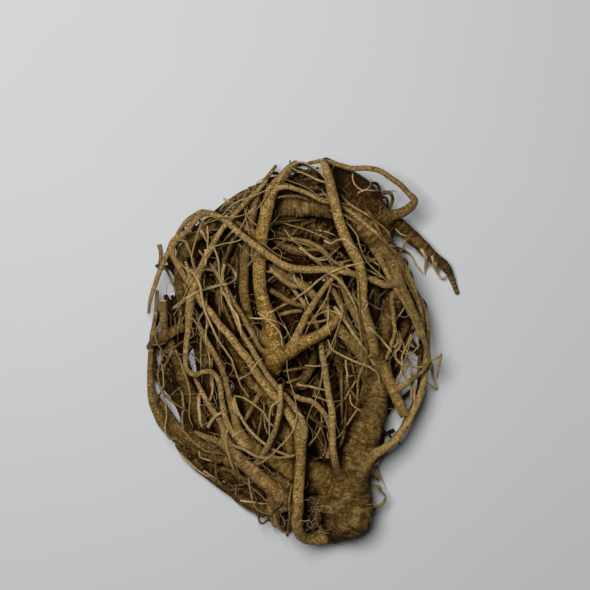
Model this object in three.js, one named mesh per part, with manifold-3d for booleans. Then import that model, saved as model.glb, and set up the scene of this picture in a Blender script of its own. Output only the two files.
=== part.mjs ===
// Bellflower (balloon flower) root: one old root as dug up and coiled, lying on a table.
// The crown lies at the front (-Y), two thick leaders leave it, and side roots curl round
// between them into a loose nest. Everything grew as one piece, so it is one closed solid.
// Millimetres, +Z up, table top at z = 0, origin under the middle of the nest.

import * as THREE from "three";
import { mergeVertices } from "three/addons/utils/BufferGeometryUtils.js";
import Module from "manifold-3d";

// ---------------------------------------------------------------- driving dimensions

const THICK_RADIUS = 5;       // a root with a stretch thicker than this gets more facets
const THICK_SIDES = 10;       // facets round a thick root
const THIN_SIDES = 5;         // facets round a side root
const RING_STEP = 14;         // longest distance between two rings of facets
const TIP_BULGE = 0.6;        // how far a rounded end stands out, in radii of that end
const SLAB = 400;             // block under the table top that trims the underside flat
const SKIN_COLOUR = 0x9a7840; // ochre brown skin

// Each root is a row of stations along its middle line: [x, y, z, radius]. The first station
// of a side root lies inside the root that it grows from, so that the two grow together.

const ROOTS = {
  crown: [[22, -143, 11, 4.5], [23, -140, 13, 8.2], [26, -135, 14.8, 13.1], [29, -130, 16.2, 16.5],
    [32, -124, 17.2, 18.8], [32, -118, 17.2, 18.8], [32, -111, 17, 17.8], [32, -104, 17.2, 17],
    [33, -97, 17.4, 15.4], [35, -91, 17.6, 14], [38, -83, 18, 12.4]],

  // thick right leader: runs to the back, bends over to the left and thins out down to the table
  right_leader: [[33, -102, 18, 13], [37, -86, 18, 12], [42, -72, 18, 11.5], [48, -57, 17, 11.2],
    [53, -42, 17, 10], [55, -26, 17, 8.6], [57, -9, 18, 8], [61, 12, 20, 7.5], [67, 32, 24, 7.4],
    [71, 48, 27, 7.4], [68, 65, 28, 7.4], [54, 82, 27, 7.5], [38, 98, 24, 7.6], [20, 106, 20, 7.6],
    [0, 108, 16, 7.2], [-20, 106, 12, 6.2], [-36, 99, 7, 5], [-52, 88, 3.4, 3.8], [-66, 74, 2.6, 2.8]],

  // left leader: leaves the crown sideways, turns back and climbs to the top of the nest
  left_leader: [[30, -106, 20, 12], [14, -97, 21, 10.5], [1, -90, 22, 9.2], [-6, -77, 23, 7.6],
    [-11, -66, 24, 6.6], [-15, -56, 25, 6.1], [-21, -41, 26, 6.1], [-26, -26, 27, 6.4], [-25, -11, 28, 7],
    [-22, 3, 29, 7.4], [-25, 15, 30, 6.8], [-29, 26, 31, 6], [-33, 38, 31, 5.4], [-35, 53, 31, 5],
    [-35, 71, 32, 4.9], [-32, 89, 33, 4.8], [-29, 107, 33, 4.7], [-25, 120, 31, 4.4], [-18, 129, 27, 3.8],
    [-12, 136, 21, 3.2], [-7, 141, 14, 2.4]],

  // broad low branch along the front left, with a thin end that turns up the left edge
  front_branch: [[10, -100, 18, 8.5], [-8, -103, 16, 7.5], [-22, -98, 13, 7], [-38, -90, 10, 6.6],
    [-52, -84, 8, 6.4], [-69, -78, 6, 6.3], [-86, -70, 5.6, 6.1], [-98, -64, 5.6, 5.7],
    [-107, -57, 5.6, 4.9], [-112, -49, 6, 3.9], [-116, -38, 8, 3.2], [-117, -22, 10, 2.6],
    [-117, -6, 12, 2.2], [-116, 11, 13, 1.9], [-113, 28, 14, 1.6], [-112, 44, 13, 1.3]],

  // long bright root: hooks out of the crown and crosses the whole nest on top
  long_root: [[26, -128, 18, 5.2], [19, -138, 15, 4.7], [10, -143, 16, 4.5], [1, -142, 22, 4.3],
    [-4, -138, 30, 4.3], [-6, -129, 36, 4.3], [-5, -118, 40, 4.3], [-5, -107, 42, 4.3],
    [-4, -94, 43, 4.3], [-3, -79, 44, 4.2], [-4, -66, 44, 4], [-7, -56, 44, 3.8], [-12, -47, 44, 3.6],
    [-19, -38, 44, 3.5], [-27, -29, 44, 3.4], [-34, -20, 44, 3.3], [-40, -10, 44, 3.2],
    [-47, -1, 43, 3.1], [-54, 8, 43, 2.9], [-62, 17, 42, 2.8], [-70, 28, 41, 2.6], [-77, 36, 39, 2.4],
    [-82, 46, 36, 2.1], [-86, 56, 32, 1.7], [-89, 66, 27, 1.3]],
  long_fork: [[-4, -72, 45, 2.6], [0, -59, 46, 2.4], [-5, -47, 47, 2.3], [-13, -36, 47, 2.2],
    [-22, -26, 47, 2.1], [-30, -15, 48, 2.1], [-37, -3, 47, 2], [-44, 8, 46, 1.8], [-50, 20, 44, 1.6],
    [-55, 33, 40, 1.4], [-59, 46, 36, 1.2]],

  // roots that leave the left leader
  outer_curve: [[6, -93, 23, 4.9], [-6, -94, 26, 5.1], [-16, -88, 27, 5.1], [-26, -82, 28, 4.9],
    [-36, -75, 29, 4.5], [-44, -68, 30, 3.9], [-50, -58, 31, 3.3], [-54, -45, 32, 2.6],
    [-58, -30, 33, 2.3], [-62, -15, 33, 2.2], [-67, -5, 32, 2.2], [-72, 4, 31, 2.2], [-77, 13, 29, 2],
    [-82, 24, 27, 1.8], [-86, 36, 24, 1.5], [-91, 49, 20, 1.2]],
  left_hook: [[-37, -74, 29, 2.8], [-46, -71, 33, 2.5], [-52, -64, 33, 2.4], [-58, -55, 33, 2.3],
    [-61, -44, 34, 2.2], [-63, -32, 35, 2.2], [-65, -22, 36, 2], [-70, -16, 37, 1.9], [-76, -16, 38, 1.9],
    [-82, -18, 39, 1.9], [-87, -16, 39, 1.9], [-89, -10, 39, 1.9], [-89, 0, 39, 2], [-88, 11, 39, 2.1],
    [-86, 28, 39, 2.9], [-85, 39, 38, 2.9], [-81, 52, 38, 2.6], [-76, 66, 37, 2.5], [-70, 77, 37, 2.3],
    [-63, 89, 36, 2.2], [-54, 100, 34, 2.2], [-45, 110, 31, 2], [-37, 118, 28, 1.8], [-29, 127, 23, 1.4]],
  knee_branch: [[-29, -13, 31, 6], [-19, -6, 37, 6], [-10, 0, 41, 5.4], [0, 6, 43, 4.8], [11, 12, 43, 4.3],
    [20, 19, 40, 3.6], [27, 27, 35, 2.8], [33, 37, 29, 2.2], [40, 46, 23, 1.6]],
  cross_root: [[-12, -1, 42, 3.2], [-8, 8, 45, 2.7], [-3, 18, 46, 2.6], [2, 28, 46, 2.5], [10, 40, 46, 2.3],
    [16, 49, 45, 2.1], [22, 56, 42, 1.9], [28, 65, 38, 1.5]],
  rear_reddish: [[-24, 6, 28, 4], [-37, 12, 27, 3.8], [-43, 26, 27, 3.7], [-46, 45, 27, 3.6],
    [-45, 66, 27, 3.5], [-42, 84, 27, 3.3], [-39, 101, 26, 2.9], [-36, 116, 23, 2.4], [-29, 129, 17, 1.9],
    [-22, 139, 11, 1.3]],
  left_slant: [[-26, -6, 30, 2.8], [-33, 0, 34, 2.3], [-41, 15, 35, 2.1], [-49, 29, 35, 2],
    [-56, 41, 34, 1.9], [-63, 53, 31, 1.7], [-71, 64, 28, 1.4], [-79, 74, 23, 1]],
  front_curl: [[-24, -31, 29, 2.4], [-16, -30, 34, 2.1], [-4, -36, 36, 2], [5, -38, 36, 2],
    [11, -43, 36, 2], [16, -50, 35, 2], [19, -58, 32, 2.1], [20, -71, 28, 2.2], [17, -81, 25, 2.3]],
  upper_fork: [[-32, 82, 30, 3], [-41, 89, 30, 2.7], [-51, 94, 30, 2.7], [-61, 98, 30, 2.7],
    [-70, 102, 29, 2.5], [-79, 103, 26, 2.2], [-88, 98, 22, 1.9], [-95, 90, 17, 1.5],
    [-101, 80, 12, 1.1]],
  left_outer: [[-77, 103, 27, 2.1], [-85, 94, 28, 2], [-89, 89, 28, 2], [-97, 82, 26, 2],
    [-103, 73, 24, 2], [-108, 62, 22, 1.9], [-112, 52, 20, 1.8], [-116, 40, 17, 1.6],
    [-118, 28, 14, 1.2]],
  left_bright: [[-94, 86, 27, 2.1], [-100, 80, 24.5, 2.1], [-100, 72, 24, 2.2], [-95, 62, 23, 2.2],
    [-89, 52, 22, 2.2], [-82, 43, 21, 2], [-76, 32, 18, 1.7], [-73, 19, 15, 1.3]],
  inner_low: [[-22, -36, 23, 4.6], [-9, -30, 18, 3.9], [2, -18, 15, 3.6], [8, -4, 13, 3.4],
    [14, 10, 12, 3.2], [22, 24, 11, 3], [26, 38, 12, 2.7], [22, 52, 14, 2.4], [13, 62, 14, 2]],
  top_spur: [[-26, 120, 33, 2], [-14, 122, 36, 1.8], [0, 118, 37, 1.7], [13, 112, 36, 1.7],
    [21, 110, 34, 1.5], [30, 106, 33, 1.5], [41, 98, 33, 1.5], [52, 89, 34, 1.4], [64, 77, 35, 1.1]],

  // roots that leave the crown's left side and the front branch
  low_reddish: [[21, -111, 11, 4.9], [10, -112, 9, 4.3], [-2, -117, 11, 4.3], [-10, -116, 15, 4.7],
    [-16, -112, 19, 5.2], [-25, -105, 21, 5.7], [-33, -98, 23, 5.6], [-41, -90, 24, 5.2],
    [-48, -84, 25, 4.8], [-54, -77, 26, 4.1], [-58, -70, 26, 3.3], [-61, -62, 26, 2.8],
    [-64, -53, 27, 2.5], [-70, -44, 28, 2.3], [-75, -35, 29, 2.2], [-79, -28, 29, 2],
    [-82, -22, 29, 1.7]],
  reddish_fork: [[-49, -82, 25, 3.4], [-58, -74, 27, 3], [-68, -68, 27, 2.6], [-76, -65, 26, 2.2],
    [-82, -62, 25, 1.7]],
  front_lobe: [[-22, -108, 18, 4.5], [-25, -117, 14, 4.5], [-23, -125, 12, 4.3], [-22, -132, 10, 3.6]],
  pink_rod: [[-41, -90, 12, 3], [-37, -86, 22, 2.5], [-32, -79, 31, 2.4], [-27, -70, 39, 2.3],
    [-22, -58, 46, 2.2], [-19, -47, 51, 2.1], [-18, -36, 52.5, 2], [-18, -25, 52, 1.6]],
  left_riser: [[-54, -81, 9, 4.5], [-60, -68, 13, 4.5], [-67, -51, 15, 4.9], [-71, -34, 16, 4.9],
    [-74, -18, 16, 4.2], [-76, 0, 16, 3.8], [-80, 20, 15, 3.3], [-82, 39, 13, 2.8], [-88, 56, 12, 2.2],
    [-94, 71, 12, 1.8]],
  edge_cross: [[-78, 15, 15, 3], [-86, 16, 18, 3.4], [-94, 16, 20, 3.8], [-101, 13, 20, 3.9],
    [-109, 9, 19, 3.8], [-115, 5, 16, 3.2], [-118, 2, 12, 2.4]],
  edge_stub: [[-105, 10, 20, 2.7], [-106, 19, 25, 3], [-106, 28, 28, 3.1], [-106, 37, 30, 2.8]],
  edge_root: [[-79, -76, 7, 4.5], [-86, -63, 7, 4.5], [-92, -47, 7.5, 4.7], [-98, -35, 8, 4.7],
    [-105, -27, 8, 4.3], [-111, -20, 8, 3.8], [-115, -12, 9, 3.1], [-116, 0, 9, 2.5], [-116, 11, 9, 2.2],
    [-112, 24, 9, 1.7], [-108, 35, 9, 1.3]],
  edge_broad: [[-62, -84, 8, 5.2], [-70, -71, 9, 5.1], [-78, -58, 10, 4.9], [-83, -44, 11, 4.9],
    [-88, -31, 12, 4.9], [-94, -18, 13, 4.8], [-98, -6, 13, 4.2], [-102, 6, 12, 3.4], [-103, 19, 11, 3],
    [-103, 32, 9, 2.5], [-106, 40, 8, 2]],
  edge_twig: [[-89, -68, 7, 3.4], [-99, -56, 9, 3], [-106, -46, 10, 2.7], [-112, -38, 10, 2.4],
    [-116, -30, 9, 1.8]],
  front_lower: [[-12, -118, 13, 3.8], [-25, -123, 9, 3.4], [-37, -120, 7, 3.4], [-49, -113, 6, 3.2],
    [-60, -106, 6, 3], [-71, -98, 6, 2.7], [-82, -90, 6, 2.5], [-91, -81, 6, 2.2], [-97, -73, 6, 1.8]],

  // roots that leave the crown and the lower part of the right leader
  centre_string: [[27, -99, 28, 4], [23, -86, 37, 2.9], [21, -75, 40, 2.7], [20, -60, 41, 2.6],
    [20, -45, 41, 2.6], [17, -30, 40, 2.5], [15, -16, 37, 2.4], [13, -2, 33.5, 2.2], [11, 12, 32, 2.1],
    [5, 26, 30, 1.9], [-3, 38, 26, 1.6], [-12, 50, 21, 1.2]],
  outer_arc: [[40, -94, 22, 4], [46, -87, 27, 3.2], [53, -79, 27, 3], [60, -74, 26, 3], [68, -68, 25, 3],
    [74, -60, 24, 2.9], [80, -49, 23, 2.8], [86, -37, 22, 2.7], [89, -26, 22, 2.6], [91, -14, 22, 2.5],
    [92, 2, 22, 2.4], [92, 19, 22, 2.2], [89, 33, 23, 2], [83, 44, 24, 1.7], [76, 52, 25, 1.4]],
  cut_root: [[56, -16, 20, 4.8], [60, -14, 25, 4.3], [63, -21, 27, 4.2], [67, -30, 26.5, 4.2],
    [71, -39, 25, 4.3], [76, -49, 23, 4.3]],
  right_twig: [[67, -30, 27, 2.6], [75, -26, 28, 2.1], [82, -21, 28.5, 2], [88, -16, 29, 1.7],
    [94, -8, 28, 1.2]],

  // roots that fan out from the head of the right leader, back and to the left
  fan_long: [[50, -14, 19, 5], [43, -5, 25, 4.2], [34, 6, 28, 3.9], [26, 16, 31, 3.7], [19, 26, 33, 3.5],
    [10, 37, 34, 3.2], [0, 48, 33, 2.9], [-13, 56, 29, 2.6], [-25, 62, 24, 2.3], [-38, 70, 19, 1.8],
    [-50, 80, 15, 1.2]],
  inner_broad: [[14, 32, 28, 3.2], [2, 44, 20, 3.9], [-10, 52, 17, 4.1], [-21, 58, 15, 3.8],
    [-32, 64, 12, 3], [-41, 74, 9, 2.2]],
  fan_mid: [[46, -6, 23, 3], [41, 3, 27, 2.5], [34, 18, 32, 2.2], [27, 33, 35, 2.1], [19, 49, 36, 1.8],
    [13, 62, 33, 1.4], [4, 70, 27, 1]],
  fan_right: [[55, -8, 23, 4], [50, 0, 28, 3.1], [45, 11, 31, 2.9], [38, 26, 34, 2.8], [31, 40, 36, 2.6],
    [25, 54, 36, 2.4], [20, 66, 33, 2.2], [13, 75, 28, 1.9], [3, 81, 23, 1.6], [-9, 84, 18, 1.2]],
  tall_root: [[54, -10, 22, 5], [52, -1, 31, 4], [49, 14, 39, 3.8], [44, 28, 45, 3.8], [42, 41, 48, 3.8],
    [42, 52, 49, 3.8], [39, 66, 50, 3.8], [34, 76, 50, 3.8], [27, 91, 49, 3.8], [21, 112, 45, 3.7],
    [18, 127, 40, 3.5], [16, 137, 33, 3], [14, 142, 26, 2.3]],
  right_bundle: [[63, 70, 29, 4.6], [67, 60, 36, 3.3], [74, 44, 38, 3.1], [81, 30, 36, 2.8],
    [87, 16, 33, 2.4], [92, 0, 29, 1.9], [95, -14, 24, 1.4]],
  bundle_left: [[52, 77, 30, 3], [57, 66, 37, 2.2], [63, 55, 37, 2.1], [69, 44, 37, 2], [76, 33, 36, 1.8],
    [82, 21, 33, 1.7], [86, 9, 29, 1.4]],
  bundle_right: [[64, 74, 30, 3], [73, 64, 34, 2.4], [78, 54, 35, 2.2], [82, 44, 34, 2],
    [86, 33, 32, 1.7], [88, 24, 29, 1.3]],
  top_slant: [[70, 51, 36, 3.2], [60, 49, 40, 2.8], [47, 54, 41, 2.6], [33, 58, 42, 2.6], [20, 60, 43, 2.7],
    [0, 60, 43, 2.7], [-13, 62, 43, 2.8], [-23, 68, 43, 2.8], [-33, 75, 43, 2.8], [-45, 84, 42, 2.7],
    [-56, 94, 39, 2.4], [-64, 100, 33, 1.9], [-70, 102, 26, 1.3]],
  right_drop: [[69, 42, 28, 2.4], [65, 40, 35, 1.9], [66, 26, 35, 1.7], [67, 14, 33, 1.5], [65, 4, 30, 1.3],
    [61, -6, 29, 1]],

  // broad arm behind the bend of the right leader, with its two side roots
  rear_broad: [[60, 72, 22, 6], [56, 86, 18, 9.8], [50, 98, 16, 13.5], [44, 109, 15.5, 15],
    [38, 120, 13.5, 12.8], [32, 129, 10, 9], [25, 136, 8, 6], [17, 142, 7, 3.8]],
  rear_arm: [[46, 104, 16, 7.5], [55, 101, 21, 4.5], [62, 101, 24, 4.1], [69, 102, 25, 3.9],
    [75, 104, 26, 3.8], [80, 108, 27, 3.4], [82, 112, 28, 2.8], [78, 117, 30, 2.2], [72, 123, 32, 2.2],
    [64, 129, 33, 2.2], [56, 134, 33, 2.1], [46, 136, 32, 2], [35, 136, 30, 2], [25, 139, 27, 1.8],
    [14, 142, 22, 1.6], [3, 141, 17, 1.3]],
  right_brown: [[49, 105, 14, 8.2], [59, 100, 13, 6.4], [69, 96, 12.5, 5.7], [79, 88, 12, 5.4],
    [88, 80, 11, 5.2], [98, 70, 9, 4.8], [106, 64, 7, 3.9], [110, 58, 5, 3], [113, 51, 3.4, 2.2],
    [116, 43, 2.6, 1.7]],

  // roots that leave the right leader where it bends over
  rear_inner: [[40, 95, 20, 5], [30, 84, 17, 4.8], [14, 76, 15, 4.2], [0, 74, 12, 3.8], [-14, 77, 9, 3.2],
    [-26, 84, 6, 2.6], [-40, 92, 2.4, 2.2]],
  rear_low: [[-4, 108, 15, 5], [-14, 117, 9, 3.6], [-28, 122, 5, 2.9], [-44, 120, 2.8, 2.5],
    [-58, 112, 2.2, 2.1], [-71, 101, 2, 1.7]],
  left_broad: [[-41, 96, 9, 4.5], [-52, 96, 10, 4.2], [-65, 94, 12, 4.3], [-79, 88, 14, 4.5],
    [-89, 79, 15, 4.7], [-94, 66, 15, 4.8], [-95, 52, 14, 4.7], [-92, 39, 12, 4.2], [-88, 26, 10, 3.8],
    [-84, 11, 8, 3.2], [-82, -4, 6, 2.5], [-81, -19, 5, 2]],

  // deep roots that run low through the nest, most of them resting on the table
  deep_centre: [[26, -96, 12, 7], [15, -76, 9, 5.6], [9, -56, 7, 5], [1, -37, 6, 4.6], [-9, -19, 5, 4.2],
    [-11, 0, 4, 3.8], [-7, 19, 3.4, 3.5], [-4, 38, 3, 3.1], [1, 56, 2.6, 2.8], [6, 72, 2.6, 2.5],
    [10, 87, 2.6, 2], [12, 100, 3, 1.5]],
  deep_right: [[48, -52, 11, 6.5], [35, -38, 8, 5.2], [28, -19, 5, 4.7], [26, 4, 4, 4.2],
    [30, 24, 3.6, 3.8], [35, 44, 3.2, 3.4], [40, 60, 3, 3], [43, 75, 3.2, 2.6], [47, 90, 5, 2.1],
    [54, 103, 8, 1.5]],
  deep_outer: [[60, -2, 15, 5], [72, 10, 9, 4.2], [79, 26, 5, 3.7], [79, 44, 3.2, 3.3],
    [75, 59, 2.8, 2.9], [69, 71, 2.6, 2.5], [64, 82, 2.8, 2], [66, 93, 4, 1.5]],
  deep_inner: [[50, -24, 14, 5], [43, -14, 12, 4.2], [44, 2, 10, 3.7], [50, 17, 9, 3.3], [55, 32, 10, 3],
    [54, 46, 14, 2.7], [47, 58, 17, 2.4], [39, 69, 18, 2], [33, 82, 17, 1.6]],
  deep_bend: [[56, -32, 11, 4.5], [64, -22, 7, 3.4], [72, -11, 4.4, 3], [77, 2, 3.4, 2.7],
    [81, 16, 3, 2.3], [82, 29, 3, 2], [80, 40, 3, 1.5]],
  deep_left: [[-31, -94, 9, 5], [-41, -76, 5, 4.3], [-43, -56, 4, 4], [-45, -38, 3.6, 3.7],
    [-44, -19, 3.4, 3.4], [-48, 0, 3, 3.1], [-53, 19, 2.8, 2.9], [-56, 38, 2.6, 2.6], [-57, 54, 2.6, 2.3],
    [-63, 68, 2.6, 2], [-73, 79, 3, 1.7], [-82, 89, 4, 1.3]],
  low_left: [[-14, -60, 21, 5], [-21, -54, 13, 4.3], [-27, -42, 8, 4], [-29, -26, 5, 3.8],
    [-29, -8, 3.8, 3.6], [-31, 12, 3.4, 3.5], [-32, 30, 3.3, 3.4], [-32, 48, 3.2, 3.2], [-31, 62, 3.2, 2.8],
    [-33, 74, 3, 2.2]],
  low_edge: [[-74, -75, 5.6, 5], [-74, -61, 5, 4], [-73, -46, 4, 3.6], [-74, -30, 3.2, 3.3],
    [-77, -14, 3, 3.1], [-78, 3, 2.9, 3], [-79, 21, 2.8, 2.8], [-82, 38, 2.8, 2.5], [-84, 54, 3, 2.1],
    [-83, 68, 4, 1.6]],
  low_front: [[-18, -98, 12, 5], [-17, -87, 8, 4], [-13, -75, 5, 3.6], [-9, -62, 4, 3.4],
    [-9, -50, 3.4, 3.1], [-15, -37, 3, 2.6], [-19, -24, 2.8, 2.2], [-20, -11, 3, 1.7]],
  low_right: [[44, -98, 12, 5], [50, -86, 15, 3.8], [58, -77, 15, 3], [65, -71, 15, 2.8],
    [73, -62, 14, 2.7], [79, -50, 13, 2.6], [85, -37, 11, 2.5], [88, -26, 9, 2.5], [88, -11, 7, 2.4],
    [89, 4, 5, 2.2], [86, 19, 4, 2.1], [82, 34, 4, 1.8], [76, 45, 4, 1.5]],
  low_rear: [[35, 101, 20, 5], [42, 111, 14, 3.7], [39, 121, 10, 3.2], [28, 126, 7, 2.9], [14, 126, 5, 2.6],
    [2, 127, 3.4, 2]],

  // roots half way up that fill the nest
  middle_left: [[-26, -32, 24, 4.5], [-38, -26, 20, 4.9], [-46, -12, 19, 4.9], [-54, 4, 18, 4.8],
    [-60, 20, 17, 4.3], [-64, 36, 16, 3.9], [-64, 52, 16, 3.3], [-61, 66, 16, 2.5], [-56, 78, 15, 1.8]],
  shaded_root: [[27, -96, 13, 7], [25, -85, 11, 7.8], [27, -73, 10, 7.8], [30, -60, 10, 7.6],
    [33, -46, 10, 7], [34, -33, 9, 5.8], [32, -19, 7, 4.4], [29, -4, 5, 3.2], [25, 12, 4, 2.2]],
};

// ---------------------------------------------------------------- one root

// A tapered tube with rounded ends through a root's stations, closed at both tips.
function rootGeometry(stations) {
  const middle = new THREE.CatmullRomCurve3(stations.map(([x, y, z]) => new THREE.Vector3(x, y, z)));
  const radii = stations.map((station) => station[3]);
  const sides = Math.max(...radii) > THICK_RADIUS ? THICK_SIDES : THIN_SIDES;
  const rings = Math.max(Math.ceil(middle.getLength() / RING_STEP), stations.length - 1);
  const frames = middle.computeFrenetFrames(rings);

  const positions = [];
  for (let ring = 0; ring <= rings; ring++) {
    const share = ring / rings;
    const centre = middle.getPointAt(share);
    const radius = radiusAt(radii, middle.getUtoTmapping(share));
    for (let side = 0; side < sides; side++) {
      const turn = (2 * Math.PI * side) / sides;
      const point = centre.clone()
        .addScaledVector(frames.normals[ring], radius * Math.cos(turn))
        .addScaledVector(frames.binormals[ring], radius * Math.sin(turn));
      positions.push(point.x, point.y, point.z);
    }
  }
  const startTip = middle.getPointAt(0).addScaledVector(frames.tangents[0], -TIP_BULGE * radii[0]);
  const endTip = middle.getPointAt(1).addScaledVector(frames.tangents[rings], TIP_BULGE * radii.at(-1));
  positions.push(startTip.x, startTip.y, startTip.z, endTip.x, endTip.y, endTip.z);

  const corner = (ring, side) => ring * sides + (side % sides);
  const startPole = (rings + 1) * sides;
  const endPole = startPole + 1;
  const triangles = [];
  for (let side = 0; side < sides; side++) {
    for (let ring = 0; ring < rings; ring++) {
      const near = corner(ring, side);
      const nearNext = corner(ring, side + 1);
      const far = corner(ring + 1, side);
      const farNext = corner(ring + 1, side + 1);
      triangles.push(near, nearNext, far, nearNext, farNext, far);
    }
    triangles.push(startPole, corner(0, side + 1), corner(0, side));
    triangles.push(endPole, corner(rings, side), corner(rings, side + 1));
  }
  const geometry = new THREE.BufferGeometry();
  geometry.setAttribute("position", new THREE.Float32BufferAttribute(positions, 3));
  geometry.setIndex(triangles);
  return geometry;
}

// The radius between two stations, for a place from 0 to 1 along the row of stations.
function radiusAt(radii, place) {
  const scaled = place * (radii.length - 1);
  const before = Math.min(Math.floor(scaled), radii.length - 2);
  return THREE.MathUtils.lerp(radii[before], radii[before + 1], scaled - before);
}

// ---------------------------------------------------------------- growing the roots together

const wasm = await Module();
wasm.setup();

function toSolid(geometry) {
  geometry.deleteAttribute("normal");
  geometry.deleteAttribute("uv");
  const merged = mergeVertices(geometry);
  return new wasm.Manifold(new wasm.Mesh({
    numProp: 3,
    vertProperties: Float32Array.from(merged.attributes.position.array),
    triVerts: Uint32Array.from(merged.index.array),
  }));
}

function toGeometry(solid) {
  const mesh = solid.getMesh();
  const geometry = new THREE.BufferGeometry();
  geometry.setAttribute("position", new THREE.Float32BufferAttribute(mesh.vertProperties, 3));
  geometry.setIndex(Array.from(mesh.triVerts));
  geometry.computeVertexNormals();
  return geometry;
}

function grownTogether(roots) {
  const [first, ...others] = Object.values(roots).map((stations) => toSolid(rootGeometry(stations)));
  return others.reduce((whole, root) => whole.add(root), first);
}

// What would reach below the table top is taken off, so the root lies on small flats.
function laidOnTable(solid) {
  const slab = new THREE.BoxGeometry(SLAB, SLAB, SLAB).translate(0, 0, -SLAB / 2);
  return solid.subtract(toSolid(slab));
}

// ---------------------------------------------------------------- the model

const skin = new THREE.MeshStandardMaterial({ color: SKIN_COLOUR, roughness: 0.85, metalness: 0 });

const root = new THREE.Mesh(toGeometry(laidOnTable(grownTogether(ROOTS))), skin);
root.name = "bellflower_root";

const group = new THREE.Group();
group.add(root);

export default group;
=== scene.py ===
# %% [markdown]
# # An old bellflower root, dug up and coiled into a nest
#
# A bellflower (balloon flower) root is a fleshy, ochre-brown root. An old one has a thick
# ringed crown, a few stout leaders and dozens of thin side roots, each with pale hair roots.
# This lesson grows its skin in mesh code round the same middle lines that the solid model uses,
# so the two agree, and gives it a procedural skin with rings, mottling, pores and soil.
# Everything is in metres, with the table at z = 0.

# %% Load the frame
import math
from functools import partial

import bpy
import numpy as np
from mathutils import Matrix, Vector


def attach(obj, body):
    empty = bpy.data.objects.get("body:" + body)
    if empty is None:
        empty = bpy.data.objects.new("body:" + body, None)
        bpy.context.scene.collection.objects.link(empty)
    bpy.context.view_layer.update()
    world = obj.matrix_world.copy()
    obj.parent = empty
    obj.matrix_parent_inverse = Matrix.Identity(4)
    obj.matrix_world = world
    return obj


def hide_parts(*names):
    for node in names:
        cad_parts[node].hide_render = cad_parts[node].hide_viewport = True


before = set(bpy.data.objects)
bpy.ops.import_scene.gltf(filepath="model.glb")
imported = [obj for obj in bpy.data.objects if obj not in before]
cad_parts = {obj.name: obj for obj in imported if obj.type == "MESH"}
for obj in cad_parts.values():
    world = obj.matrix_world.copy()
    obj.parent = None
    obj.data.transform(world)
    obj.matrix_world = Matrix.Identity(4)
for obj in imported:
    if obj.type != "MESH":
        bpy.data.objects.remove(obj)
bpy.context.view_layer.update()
NODE = "bellflower_root"
MM = 0.001

# %% [markdown]
# ## The middle lines
# Each root is a row of stations along its middle line: x, y, z and the radius there, in
# millimetres. The first station of a side root lies inside the root that it grows from.
# They are the stations of the solid model, written out again because this file reads nothing
# but the frame.

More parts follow.
